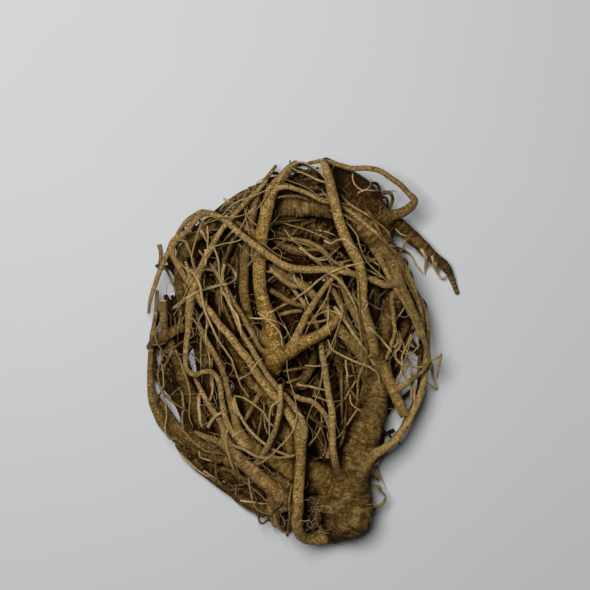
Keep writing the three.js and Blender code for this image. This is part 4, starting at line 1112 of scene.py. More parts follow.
def under_gaps(number, rng, cover, longest):
    """Dark threads, tinted with painted shade, that start under a gap and run on both ways."""
    spots = gap_places(number, rng, cover)
    headings = along_nearest(spots, rng.normal(size=spots.shape))
    headings += 0.5 * rng.normal(size=spots.shape)
    headings[:, 2] *= 0.2
    headings = unit(headings)
    thick = rng.uniform(1.3, 2.6, number)
    counts = rng.integers(3, longest, number)
    forth = walk(spots, headings, thick, counts, UNDER_STEP, rng, BURIED)
    back = walk(spots, -headings, thick, counts, UNDER_STEP, rng, BURIED)
    tracks = [np.vstack([b[::-1], f[1:]]) for f, b in zip(forth, back)]
    # their dark tint is painted shade: they fill gaps where only the nest's dark bottom would show
    return [thread(track, tapered(len(track), r, 0.5), rng.uniform(0.1, 0.4),
                   rng.uniform(0.5, 0.9), rng.uniform(0, 0.3))
            for track, r in zip(tracks, thick) if beyond_openings(track).all()]


cover = NEST_COVER.copy()
mark_cover(cover, fine_threads + deep_threads)
for longest in UNDER_LENGTHS:
    added = under_gaps(UNDER_EACH, rng, cover, longest)
    mark_cover(cover, added)
    deep_threads += added
print(len(deep_threads), "deep roots with those under the gaps")

# %% [markdown]
# ## Roots that lie on top
# The pale thin roots that cross the nest on top are laid one by one. Each is a row of places seen
# from above; its height comes from what it crosses. It rests on the thick roots and spans the
# gaps between them, like a thread pulled lightly over sticks.

# %% Thin roots laid one by one
# (radius at its start, radius at its end, how much it sags from 0 to 1, places x, y in mm)
LAID_ROOTS = [
    (1.15, 0.80, 0.1, [(-28, 27), (-9, 37.5), (0, 43.5), (15, 56), (30, 62), (52, 67)]),
    (1.00, 0.60, 0.2, [(-100, 31.5), (-86, 40.5), (-71, 46.5), (-55, 51), (-52, 53), (-53, 60)]),
    (0.75, 0.50, 0.3, [(-49, -22), (-40, -16), (-34, -7), (-31, -6)]),
    (0.70, 0.50, 0.5, [(-55, -30), (-52, -45), (-46, -56), (-34, -71)]),
    (0.75, 0.60, 0.2, [(-41, 24), (-26, 23), (-17, 19), (-9, 7)]),
    (0.80, 0.60, 0.2, [(-35, 28), (-26, 21), (-19, 13), (-16, 0)]),
    (0.85, 0.60, 0.3, [(-22, 96), (-15, 90), (-7, 81), (10, 69), (24, 75)]),
    (0.75, 0.50, 0.2, [(-4, 90), (1, 92), (9, 91), (17, 89), (25, 85)]),
    (0.60, 0.45, 0.3, [(3, 85), (9, 86.5), (16, 88.5), (24, 88)]),
    (0.70, 0.50, 0.6, [(-13, 49), (-12, 34), (-4, 22)]),
    (0.70, 0.45, 0.4, [(6, 23), (12, 28), (16, 29), (22, 29), (27, 26), (33, 23)]),
    (0.70, 0.80, 0.5, [(-8, -44), (0, -50), (10, -55), (14, -64), (16, -74), (13, -82)]),
    (1.25, 0.85, 0.6, [(96, -10), (98, -21), (100, -30), (95, -27), (92, -24)]),
    (0.90, 0.60, 0.4, [(52, -11), (45, 0), (37, 11), (30, 22)]),
    (0.80, 0.50, 0.3, [(-62, 115), (-55, 111), (-46, 113), (-37, 125)]),
    (0.80, 0.60, 0.1, [(-30, 122), (-34, 114), (-33, 107), (-32, 100)]),
    (0.70, 0.50, 0.3, [(-37, 108), (-43, 102), (-47, 93), (-52, 84)]),
    (0.80, 0.50, 0.4, [(-50, 90), (-54, 88), (-61, 82), (-64, 74), (-64, 66)]),
    (1.10, 0.70, 0.4, [(-95, 83), (-90, 81), (-86, 70), (-83, 61), (-79, 54), (-74, 42)]),
    (1.10, 0.80, 0.4, [(-78, 98), (-74, 93), (-73, 83), (-72, 70)]),
    (0.55, 0.40, 0.6, [(10, -57), (7, -64), (6, -74)]),
    (0.60, 0.40, 0.4, [(39, -22), (34, -31), (28, -39), (20, -46), (10, -58)]),
    (0.80, 0.60, 0.4, [(5, -35), (19, -38), (29, -38), (33, -31), (32, -22)]),
    (1.20, 1.00, 0.3, [(-6, -26), (4, -28), (16, -30)]),
    (0.60, 0.40, 0.5, [(34, -34), (35, -41), (45, -47)]),
    (0.75, 0.50, 0.9, [(54, -85), (58, -97), (63, -108)]),
    (0.55, 0.40, 0.2, [(1, -121), (13, -118), (19, -117), (20, -121)]),
    (0.65, 0.45, 0.3, [(36, 133), (36, 128), (39, 123), (44, 120), (49, 123), (50, 130)]),
    (0.70, 0.50, 0.3, [(40, 118), (45, 120), (53, 120), (69, 121)]),
    (1.15, 0.80, 0.2, [(15, 82), (20, 80), (24, 82), (30, 82), (35, 78), (42, 73), (52, 68)]),
    (0.95, 0.60, 0.5, [(-4, 77), (1, 73), (8, 68), (16, 68), (21, 72), (26, 78)]),
    (0.95, 0.60, 0.7, [(64, 78), (74, 76), (81, 72), (85, 64), (91, 56)]),
    (0.70, 0.45, 0.8, [(76, 83), (74, 77), (69, 70)]),
    (0.70, 0.50, 0.4, [(67, 93), (73, 87), (78, 86)]),
    (1.20, 0.90, 0.8, [(99, 66), (100, 60), (105, 54), (109, 57)]),
    (1.00, 0.70, 0.4, [(32, 55), (36, 52), (36, 43), (40, 33), (46, 22)]),
    (0.90, 0.75, 0.4, [(-91, 82), (-88, 76), (-85, 69), (-82, 63)]),
    (0.68, 0.52, 0.4, [(-94, 66), (-89, 60), (-85, 54)]),
    (1.20, 0.90, 0.4, [(-106, 64), (-102, 54), (-98, 45), (-96, 34), (-95, 22), (-96, 11), (-97, 4)]),
    (1.35, 0.98, 0.4, [(-74, 75), (-74, 64), (-74, 52), (-74, 38), (-74, 22), (-74, 4)]),
    (0.83, 0.75, 0.4, [(-115, 4), (-109, 4), (-101, 9), (-97, 13)]),
    (1.05, 0.75, 0.4, [(-112, -2), (-103, -1), (-95, 4), (-89, 8)]),
    (0.83, 0.60, 0.4, [(-111, -2), (-101, -3), (-86, -3)]),
    (0.60, 0.45, 0.4, [(-86, -3), (-80, -9), (-75, -14)]),
    (1.50, 1.12, 0.4, [(-100, 0), (-104, -9), (-110, -16), (-113, -21)]),
    (0.90, 0.68, 0.4, [(-98, 0), (-94, -9), (-92, -16), (-88, -26), (-87, -38), (-88, -49), (-85, -60)]),
    (1.20, 0.98, 0.4, [(-94, -30), (-92, -41), (-93, -52), (-92, -62), (-88, -68)]),
    (1.65, 1.35, 0.4, [(-80, -34), (-80, -45), (-78, -60)]),
    (1.65, 1.35, 0.4, [(-73, -58), (-68, -51), (-62, -46)]),
    (0.68, 0.52, 0.4, [(-60, 28), (-55, 17), (-49, 8)]),
    (0.68, 0.52, 0.4, [(-65, 19), (-62, 8), (-60, -2), (-59, -11)]),
    (0.75, 0.52, 0.4, [(-76, 29), (-79, 24), (-81, 15), (-86, 2)]),
    (0.68, 0.52, 0.4, [(-84, 24), (-80, 18), (-75, 14)]),
    (0.98, 0.68, 0.4, [(-86, -68), (-81, -75), (-79, -82), (-71, -85), (-64, -85)]),
    (0.90, 0.68, 0.8, [(-90, -76), (-79, -90), (-68, -99)]),
    (1.05, 0.75, 0.8, [(-95, -79), (-84, -90), (-71, -98)]),
    (0.98, 0.68, 0.8, [(-49, -115), (-41, -116), (-32, -117), (-26, -115)]),
    (0.90, 0.60, 0.8, [(-55, -99), (-45, -106), (-35, -114)]),
    (1.05, 0.80, 0.3, [(47, 18), (60, 5), (70, -9), (74, -17), (75, -21)]),
    (0.98, 0.68, 0.4, [(31, -8), (32, -22), (31, -34)]),
    (0.98, 0.68, 0.4, [(34, -8), (39, -19), (43, -30)]),
    (0.83, 0.60, 0.4, [(26, -8), (22, -14), (20, -19)]),
    (0.83, 0.60, 0.4, [(0, -12), (10, -12), (18, -10)]),
    (0.83, 0.60, 0.4, [(17, 40), (17, 28), (17, 19), (19, 11)]),
    (0.83, 0.60, 0.4, [(19, 12), (26, 10), (31, 8)]),
    (0.83, 0.60, 0.4, [(20, 10), (26, 4), (34, -2), (38, -9)]),
    (0.83, 0.60, 0.4, [(43, 38), (48, 35), (53, 32), (58, 30)]),
    (0.83, 0.60, 0.4, [(52, 45), (48, 38), (43, 29)]),
    (0.90, 0.60, 0.4, [(26, 28), (32, 24), (34, 20), (37, 14), (38, 11)]),
    (1.50, 1.20, 0.4, [(22, 32), (30, 21), (38, 10), (45, 0), (52, -14)]),
    (0.83, 0.60, 0.4, [(0, 43), (2, 36), (3, 32)]),
    (0.98, 0.68, 0.4, [(-9, 58), (-6, 50), (-2, 44)]),
    (1.58, 1.20, 0.8, [(88, 76), (92, 68), (92, 56)]),
    (1.20, 0.75, 0.8, [(96, 71), (99, 62), (105, 54), (109, 57)]),
    (0.90, 0.60, 0.8, [(77, 84), (74, 76), (70, 69)]),
    (0.75, 0.52, 0.8, [(70, 76), (80, 72), (87, 62), (91, 57)]),
    (0.98, 0.75, 0.4, [(-52, 90), (-60, 84), (-64, 77), (-64, 70)]),
    (1.50, 1.05, 0.4, [(-58, 73), (-61, 64), (-62, 52), (-62, 45), (-56, 34), (-50, 24), (-46, 4)]),
    (1.27, 0.83, 0.4, [(-60, 66), (-55, 61), (-52, 54), (-57, 50), (-68, 48), (-75, 46), (-86, 40),
        (-94, 34), (-101, 30)]),
    (1.50, 1.05, 0.4, [(-79, 91), (-76, 86), (-73, 80)]),
    (1.80, 1.35, 0.4, [(-111, 80), (-110, 70), (-112, 60)]),
    (1.20, 0.90, 0.4, [(-100, 35), (-99, 24), (-97, 15)]),
    (1.12, 0.90, 0.4, [(-52, -84), (-50, -98), (-52, -106), (-53, -112)]),
]


def top_surface(points):
    """Height of the highest root surface over each x, y, or 0 where there is only the table."""
    tops = np.zeros(len(points))
    for k, point in enumerate(points):
        flat = MAIN_POINTS[:, :2] - point[:2]
        inside = MAIN_RADII ** 2 - (flat * flat).sum(axis=1)
        over = inside > 0
        if over.any():
            tops[k] = (MAIN_POINTS[over, 2] + np.sqrt(inside[over])).max()
    return tops


LAID_STEP, THINNER = 1.2, 0.9           # the listed radii are cut down by the second
LEFT_EDGE, EDGE_SOFTNESS = -82.0, 14    # thin roots left of this are browner, with more soil


def laid_on_top(start, end, sag, row):
    """A thin root through the places, resting on what it crosses."""
    places, _, lengths = middle_line([(x, y, 0, 1) for x, y in row], LAID_STEP)
    radii = THINNER * np.interp(lengths, [0, lengths[-1]], [start, end])
    radii *= 0.3 + 0.7 * np.clip((lengths[-1] - lengths) / (0.3 * lengths[-1]), 0, 1) ** 0.7
    rest = top_surface(places) + 0.8 * radii
    height = rest.copy()
    for _ in range(int(60 * (1 - sag)) + 8):
        middle = 0.5 * (np.append(height[1:], height[-1]) + np.insert(height[:-1], 0, height[0]))
        height = np.maximum(rest, middle - 0.02 * sag)
    ends = np.minimum(lengths, lengths[-1] - lengths)
    places[:, 2] = height - 1.2 * start * np.clip(1 - ends / 3, 0, 1)
    places += 0.35 * noise_along(lengths, 5, int(abs(row[0][0] * 13 + row[0][1] * 7)))
    places[:, 2] = np.maximum(places[:, 2], radii)
    edge = float(np.clip((LEFT_EDGE - places[:, 0].mean()) / EDGE_SOFTNESS, 0, 1))
    return thread(places, radii, 0.08 + 0.45 * edge, 0.35 * edge, 1 - 0.6 * edge)


# roots at a height of their own, as (how dark, with painted shade, places x, y, z and radius):
# a twig under the outer arc, middling roots in the shade, four across the nest's open hollow, the
# thicket inside the outer arc with its curled root, a knobbed one beside the crown, and broken
# twigs outside the arc
OWN_HEIGHT_ROOTS = [
    (0.55, [(54, -57, 15, 1.3), (59, -61, 13, 1.1), (65, -66, 11, 1), (72, -71.5, 10, 0.9)]),
    (0.18, [(-26, 61, 28, 2), (-20, 56, 29, 2.3), (-14, 51, 29, 2.4), (-7, 48, 29, 2.3), (5, 50, 27, 2)]),
    (0.38, [(-30, 47, 21, 2), (-20, 41.5, 22, 2.1), (-13, 37, 22, 2), (-2, 33, 21, 1.9), (6, 32, 19, 1.6)]),
    (0.25, [(-26, 24, 19, 1.5), (-17, 27, 20, 1.6), (-8, 29, 20, 1.6), (3, 29, 18, 1.4)]),
    (0.04, [(-53, -34, 34.6, 0.5), (-45.5, -36, 34.5, 0.8), (-36.5, -42, 33.5, 0.85),
        (-30.5, -47.5, 32.5, 0.85), (-27.5, -53.5, 31.5, 0.8), (-21.5, -58.5, 31, 0.7),
        (-15, -62.5, 30, 0.55)]),
    (0.04, [(-53, -35, 34.8, 0.9), (-51, -43.5, 35, 1.1), (-46.5, -52.5, 35, 1.15),
        (-40, -61.5, 34.5, 1.2), (-31, -69.5, 34, 1.15), (-22.5, -75, 33, 1.1), (-11, -79.5, 32, 1.05),
        (-2, -82.5, 30, 0.9)]),
    (0.02, [(17, 8, 38, 0.7), (20, 1, 37, 0.85), (30, -5, 37, 0.9), (40, -9.5, 37, 0.9),
        (49, -13, 36, 0.85), (54.5, -18, 32, 0.8), (56, -25, 28, 0.6)]),
    (0.25, [(-29, -24, 27, 2), (-34, -33, 25, 2.1), (-39, -42, 22, 2), (-44, -51, 19, 1.7),
        (-47, -56, 18, 1.2)]),
    (0.06, [(66, 9, 31, 1.2), (64.5, 4, 29.5, 1.2), (67, 2.5, 28, 1.15), (69.8, 5.5, 27.5, 1.1),
        (69, 9, 27.5, 1.1), (71.5, 7.5, 27, 1.1), (71, 2, 26.5, 1.05), (68, -2, 26, 1),
        (68.5, -6.5, 25.5, 1), (73, -11, 25, 0.95), (79, -12.5, 24.5, 0.9), (88.8, -12.8, 23.5, 0.7)]),
    (0.1, [(79.5, -11, 25.5, 1.15), (80.5, -20, 24.5, 1.15), (80.5, -30, 22, 1.1), (80, -38, 20, 1)]),
    (0.06, [(82, -24, 25.5, 0.8), (82.5, -33, 24.5, 0.8), (82.5, -42, 24, 0.7)]),
    (0.06, [(68, -27, 29.5, 0.9), (71, -20, 27, 0.9), (73, -13, 26.5, 0.85), (73, -5, 26, 0.8),
        (77, 4, 25, 0.75), (80, 12, 24, 0.6)]),
    (0.1, [(70, 14, 30, 0.6), (73, 7, 27, 0.6), (76, 0, 25, 0.55), (80, -6, 24, 0.5), (84, -8, 23, 0.4)]),
    (0.1, [(83, 14, 28, 0.6), (79, 6, 26.5, 0.55), (77, -2, 25.5, 0.5), (75, -8, 25.5, 0.45),
        (72, -17, 26, 0.35)]),
    (0.1, [(86, 4, 27.5, 0.6), (82, -1, 26.5, 0.55), (77, -3, 26, 0.5), (71, 0, 26.5, 0.4),
        (68, 4, 28, 0.3)]),
    (0.2, [(80, -9, 25.8, 0.55), (76, -14, 26, 0.55), (75, -20, 27, 0.5), (79, -25, 27, 0.4)]),
    (0.2, [(74, 6, 25, 0.6), (75, -2, 22, 0.6), (79, -10, 18, 0.55), (80, -16, 14, 0.45)]),
    (0.3, [(46, -104, 13, 0.7), (53, -103, 14, 0.9), (56, -104.5, 13.5, 1.6), (58, -107.5, 12.5, 0.9),
        (61.3, -112, 12, 1), (59.3, -116.3, 12, 1.2), (53, -121, 13, 1.5), (46, -127, 14, 1.2)]),
    (0.12, [(93, -9, 28, 0.9), (97.5, -6.5, 27.3, 0.9), (101.5, -5, 26.5, 0.9)]),
    (0.12, [(102.5, -3, 27, 1), (101, -12, 24, 0.95), (99.6, -21.5, 20.5, 0.9)]),
]
laid_threads = [laid_on_top(*entry) for entry in LAID_ROOTS]
for shade, row in OWN_HEIGHT_ROOTS:
    places, radii, _ = middle_line(row, LAID_STEP)
    laid_threads.append(thread(places, radii, 0.2, shade, pale=max(0.2, 0.6 - 2 * shade)))
print(len(laid_threads), "laid thin roots")

# %% [markdown]
# ## Hair roots
# The finest roots are as thin as hair. Most grow straight out of the bark and curl; near the
# crown they make a dark mat.

# %% Hairs
HAIRS, HAIR_STEP = 360, 1.3
places, ways, alongs, _ = starts_on_roots(HAIRS, rng)
headings = unit(ways + 0.7 * alongs + 0.35 * rng.normal(size=ways.shape))
thick = rng.uniform(0.14, 0.36, HAIRS)
counts = (6 + rng.gamma(2.0, 6.5, HAIRS)).clip(6, 44).astype(int)
CURLING = {"sway": 0.16, "swirl": 0.03, "follow": 0.03, "sink": 0.05, "stray": 3.0}
tracks = walk(places, headings, thick, counts, HAIR_STEP, rng, CURLING)
hair_threads = [thread(track, tapered(len(track), r, 0.45), 0.1, rng.uniform(0, 0.4),
                       rng.uniform(0.5, 1.0)) for track, r in zip(tracks, thick)]

# the mat: its corners, its middle and how far from that its hairs may reach, front to back
MAT_HAIRS, MAT_STEP = 95, 1.2
MAT_LOW, MAT_HIGH = (-4, -146, 1), (16, -110, 18)
MAT_MIDDLE, MAT_REACH = -128, 17.5
starts = rng.uniform(MAT_LOW, MAT_HIGH, (MAT_HAIRS, 3))
headings = unit(rng.normal(size=starts.shape) * (1, 1, 0.3))
MATTED = {"sway": 0.42, "swirl": 0.0, "follow": 0.0, "sink": 0.03, "stray": 5.0}
tracks = walk(starts, headings, np.full(MAT_HAIRS, 0.4), rng.integers(8, 22, MAT_HAIRS),
              MAT_STEP, rng, MATTED)
tracks = [track[np.abs(track[:, 1] - MAT_MIDDLE) < MAT_REACH] for track in tracks]
hair_threads += [thread(track, tapered(len(track), 0.42, 0.6), 0.1, rng.uniform(0.1, 0.6), 0.8)
                 for track in tracks if len(track) > 4]
print(len(hair_threads), "hairs")

# %% [markdown]
# ## Bark
# The bark of a washed bellflower root is a thin skin between straw and brown. It is mottled,
# crossed by fine darker dashes where the rings and breathing pores are, reddish where the outer
# bark is left, and soil stays in the grooves; grooves and bark deep in the nest are darkened
# further as painted shade. One node group works all of that out from the place on the bark, so
# the pattern runs round every root however it bends. The group gives a colour, a roughness and
# a height; each material sets its own shader and bump. The thick roots get theirs here, and the
# threads and crumbs get theirs from the trees that grow them.

# %% Building blocks for node trees
def linked(tree, kind, inputs=None, **settings):
    """A new node with its settings, its inputs given as values or as other nodes' outputs."""
    node = tree.nodes.new(kind)
    for key, value in settings.items():
        setattr(node, key, value)
    for key, value in (inputs or {}).items():
        if isinstance(value, bpy.types.NodeSocket):
            tree.links.new(value, node.inputs[key])
        else:
            node.inputs[key].default_value = value
    return node


def with_sockets(tree, inputs, outputs):
    """Gives a tree its sockets, each as (name, kind), and returns what it is given."""
    for way, sockets in (("INPUT", inputs), ("OUTPUT", outputs)):
        for name, kind in sockets:
            tree.interface.new_socket(name, in_out=way, socket_type="NodeSocket" + kind)
    return tree.nodes.new("NodeGroupInput").outputs


def sum_of(tree, kind, first, second, clamp=False):
    """Output of one Math node."""
    return linked(tree, "ShaderNodeMath", {0: first, 1: second}, operation=kind,
                  use_clamp=clamp).outputs[0]


def vector_sum(tree, kind, first, second):
    """Output of one Vector Math node; only SCALE takes a plain number second."""
    inputs = {0: first, "Scale" if kind == "SCALE" else 1: second}
    return linked(tree, "ShaderNodeVectorMath", inputs, operation=kind).outputs[0]


def named(tree, name, kind="FLOAT"):
    """Output of a named attribute in a geometry tree."""
    return linked(tree, "GeometryNodeInputNamedAttribute", {"Name": name},
                  data_type=kind).outputs["Attribute"]


def stored(tree, geometry, name, value):
    """Geometry with a vector kept at each point under a name."""
    return linked(tree, "GeometryNodeStoreNamedAttribute",
                  {"Geometry": geometry, "Name": name, "Value": value},
                  data_type="FLOAT_VECTOR", domain="POINT").outputs["Geometry"]


# %% The bark group
TINTS = ("Reddish", "Dark", "Pale", "Hollow", "Cut")        # attributes of the meshes
# finishes that go from a dark to a light shade with the mottling, and single shades
RED_BARK = (0.110, 0.042, 0.016, 1), (0.430, 0.252, 0.115, 1)
THIN_SKIN = (0.378, 0.250, 0.083, 1), (0.700, 0.548, 0.300, 1)
# the film of soil and of painted shade in grooves and deep in the nest
SOIL_FILM_AND_SHADE = (0.026, 0.011, 0.002, 1), (0.075, 0.036, 0.008, 1)
FLESH = (0.520, 0.385, 0.120, 1), (0.790, 0.660, 0.330, 1)
# near black where soil and painted shade are thickest, and the colour of the pores
THICK_SOIL_AND_SHADE, PORES = (0.011, 0.004, 0.001, 1), (0.040, 0.020, 0.008, 1)
# what these do to the bark's own colour
FLAKED, DASHES, SPECKS = (1.38, 1.50, 2.30, 1), (0.300, 0.210, 0.120, 1), (0.340, 0.230, 0.130, 1)


def colour_mix(tree, share, first, second, blend="MIX"):
    """Colour output that blends the first colour with the second one by share."""
    return linked(tree, "ShaderNodeMix", {0: share, 6: first, 7: second}, data_type="RGBA",
                  blend_type=blend, clamp_factor=True).outputs[2]


def eased(tree, value, low, high, out_low=0.0, out_high=1.0):
    """Value mapped smoothly from between low and high."""
    return linked(tree, "ShaderNodeMapRange",
                  {"Value": value, "From Min": low, "From Max": high, "To Min": out_low,
                   "To Max": out_high}, interpolation_type="SMOOTHSTEP").outputs[0]


def bark_noise(tree, place, stretch, detail, seed):
    """Noise on the bark: stretch is (waves per mm round the root, round, along it)."""
    moved = vector_sum(tree, "ADD", vector_sum(tree, "MULTIPLY", place, stretch), (seed,) * 3)
    return linked(tree, "ShaderNodeTexNoise",
                  {"Vector": moved, "Scale": 1.0, "Detail": detail}).outputs["Fac"]


def bark_group():
    """Colour, roughness and height of the bark from the place on it and its tints."""
    tree = bpy.data.node_groups.new("Bellflower bark", "ShaderNodeTree")
    given = with_sockets(
        tree, [("Place", "Vector"), ("Straw", "Color"), ("Brown", "Color"), ("Dashes", "Float"),
               *((tint, "Float") for tint in TINTS)],
        [("Color", "Color"), ("Roughness", "Float"), ("Height", "Float")])
    plus, less, times, power = (partial(sum_of, tree, kind)
                                for kind in ("ADD", "SUBTRACT", "MULTIPLY", "POWER"))
    mix, ease = partial(colour_mix, tree), partial(eased, tree)
    noise = partial(bark_noise, tree, given["Place"])

    mottle = noise((0.16, 0.16, 0.13), 4.0, 3.1)
    blotch = noise((0.75, 0.75, 0.62), 3.0, 17.3)
    grain = noise((1.7, 1.7, 2.0), 2.0, 41.7)
    streak = noise((0.32, 0.32, 1.10), 3.0, 63.9)
    specks = noise((0.78, 0.78, 1.05), 2.0, 88.2)
    flakes = noise((0.55, 0.55, 0.46), 3.0, 51.6)
    wrinkle = noise((0.17, 0.17, 0.62), 2.0, 29.4)

    # straw and brown, mottled in four sizes
    tone = plus(times(mottle, 0.36), times(blotch, 0.22))
    tone = plus(plus(tone, times(grain, 0.22)), times(wrinkle, 0.20))
    share = ease(tone, 0.415, 0.61)
    colour = mix(share, given["Brown"], given["Straw"])

    # where the cork has flaked off the skin is paler
    flaked = times(ease(flakes, 0.56, 0.66), given["Dashes"])
    bright = mix(1.0, given["Straw"], FLAKED, "MULTIPLY")
    colour = mix(times(flaked, 0.55), colour, bright)

    # the outer bark, reddish brown, in patches
    patch = ease(blotch, 0.30, 0.62)
    reddish = times(given["Reddish"], plus(times(patch, 0.55), 0.45), True)
    colour = mix(reddish, colour, mix(share, *RED_BARK))

    # thin roots are paler and smoother
    pale = mix(grain, *THIN_SKIN)
    colour = mix(times(given["Pale"], 0.72), colour, pale)

    # darker dashes across the root, with pores
    dash = times(ease(streak, 0.585, 0.680), given["Dashes"], True)
    colour = mix(dash, colour, DASHES, "MULTIPLY")
    cells = vector_sum(tree, "MULTIPLY", given["Place"], (0.55, 0.55, 0.95))
    voronoi = linked(tree, "ShaderNodeTexVoronoi", {"Vector": cells, "Scale": 1.0})
    pore = ease(voronoi.outputs["Distance"], 0.14, 0.32, 1.0, 0.0)
    pore = times(pore, ease(mottle, 0.40, 0.54), True)
    colour = mix(times(pore, 0.80), colour, PORES)

    # cork specks of a millimetre or so, thicker in some stretches than in others
    speck = times(ease(specks, 0.55, 0.63), ease(mottle, 0.36, 0.56, 0.35, 1.15))
    speck = times(speck, given["Dashes"], True)
    colour = mix(speck, colour, SPECKS, "MULTIPLY")

    # a film of soil turns the bark earth brown, and where it is thick almost black; the same mix
    # paints shade into the grooves and deep in the nest
    soil = plus(times(given["Hollow"], 0.34),
                times(given["Dark"], ease(blotch, 0.25, 0.75, 0.5, 1.3)), True)
    colour = mix(times(soil, 1.3, True), colour, mix(share, *SOIL_FILM_AND_SHADE))
    colour = mix(power(soil, 2.0), colour, THICK_SOIL_AND_SHADE)

    # broken ends show pale flesh
    colour = mix(given["Cut"], colour, mix(grain, *FLESH))

    rough = plus(ease(grain, 0.3, 0.7, 0.48, 0.68), times(soil, 0.30), True)
    height = plus(plus(times(grain, 0.45), times(blotch, 0.35)), times(wrinkle, 0.90))
    height = less(less(height, times(dash, 0.45)), times(pore, 0.60))
    height = plus(height, times(speck, 0.35))
    linked(tree, "NodeGroupOutput", {"Color": colour, "Roughness": rough, "Height": height})
    return tree


BARK = bark_group()
print("bark group:", len(BARK.nodes), "nodes")

# %% The materials
def attribute(tree, name, output="Fac"):
    """Output of a named attribute of the mesh."""
    return linked(tree, "ShaderNodeAttribute", attribute_name=name).outputs[output]


def material_from(name, shader_inputs):
    """A material whose shader takes what shader_inputs(tree) gives."""
    material = bpy.data.materials.new(name)
    material.use_nodes = True
    tree = material.node_tree
    tree.nodes.clear()
    shader = linked(tree, "ShaderNodeBsdfPrincipled", shader_inputs(tree))
    linked(tree, "ShaderNodeOutputMaterial", {"Surface": shader.outputs["BSDF"]})
    return material


def object_noise(tree, scale, detail):
    """Noise over an object's own space."""
    spot = linked(tree, "ShaderNodeTexCoord").outputs["Object"]
    return linked(tree, "ShaderNodeTexNoise",
                  {"Vector": spot, "Scale": scale, "Detail": detail}).outputs["Fac"]


def bark_material(name, straw, brown, dashes, relief):
    """Bark with a look of its own."""
    def inputs(tree):
        given = {tint: attribute(tree, tint.lower()) for tint in TINTS}
        given.update({"Place": attribute(tree, "place", "Vector"), "Straw": (*straw, 1),
                      "Brown": (*brown, 1), "Dashes": dashes})
        bark = linked(tree, "ShaderNodeGroup", given, node_tree=BARK)
        bump = linked(tree, "ShaderNodeBump", {"Strength": 0.9, "Distance": relief,
                                               "Height": bark.outputs["Height"]})
        return {"Base Color": bark.outputs["Color"], "Roughness": bark.outputs["Roughness"],
                "Normal": bump.outputs["Normal"], "Specular IOR Level": 0.28,
                "Specular Tint": (1.0, 0.64, 0.24, 1)}
    return material_from(name, inputs)


def dry_soil_inputs(tree):
    """Dry crumbly soil."""
    noise = object_noise(tree, 1500.0, 3.0)
    bump = linked(tree, "ShaderNodeBump", {"Strength": 0.8, "Distance": 0.0002, "Height": noise})
    return {"Base Color": colour_mix(tree, noise, (0.050, 0.032, 0.018, 1),
                                     (0.180, 0.120, 0.070, 1)),
            "Roughness": eased(tree, noise, 0.3, 0.7, 0.75, 0.95),
            "Normal": bump.outputs["Normal"]}


# name: (straw, brown, how strong the dashes are, depth of the bump in metres)
BARKS = {"crown_bark": ((0.436, 0.298, 0.094), (0.092, 0.045, 0.008), 0.60, 0.0006),
         "thick_bark": ((0.530, 0.350, 0.084), (0.125, 0.058, 0.007), 1.0, 0.0005),
         "side_bark": ((0.484, 0.313, 0.074), (0.112, 0.051, 0.006), 0.9, 0.0004),
         "thin_bark": ((0.504, 0.340, 0.106), (0.155, 0.078, 0.012), 0.5, 0.0002)}
crown_bark, thick_bark, side_bark, thin_bark = (bark_material(name, *look)
                                                for name, look in BARKS.items())
soil = material_from("dry_soil", dry_soil_inputs)
FINISH = {"crown_and_right_leader": crown_bark, "left_leader_and_long_root": thick_bark}
for piece_name, piece in pieces.items():
    piece.data.materials.append(FINISH.get(piece_name, side_bark))
print("materials so far:", ", ".join(material.name for material in bpy.data.materials))

# %% [markdown]
# ## Threads become roots in Geometry Nodes
# A thread is only a line with a radius at each point. Geometry Nodes turn it into a root: the
# line becomes a curve, a small circle is swept along it with its own radius, and a noise makes
# the skin knobbly. One tree does this for every fine root and hair, with its sizes as inputs.

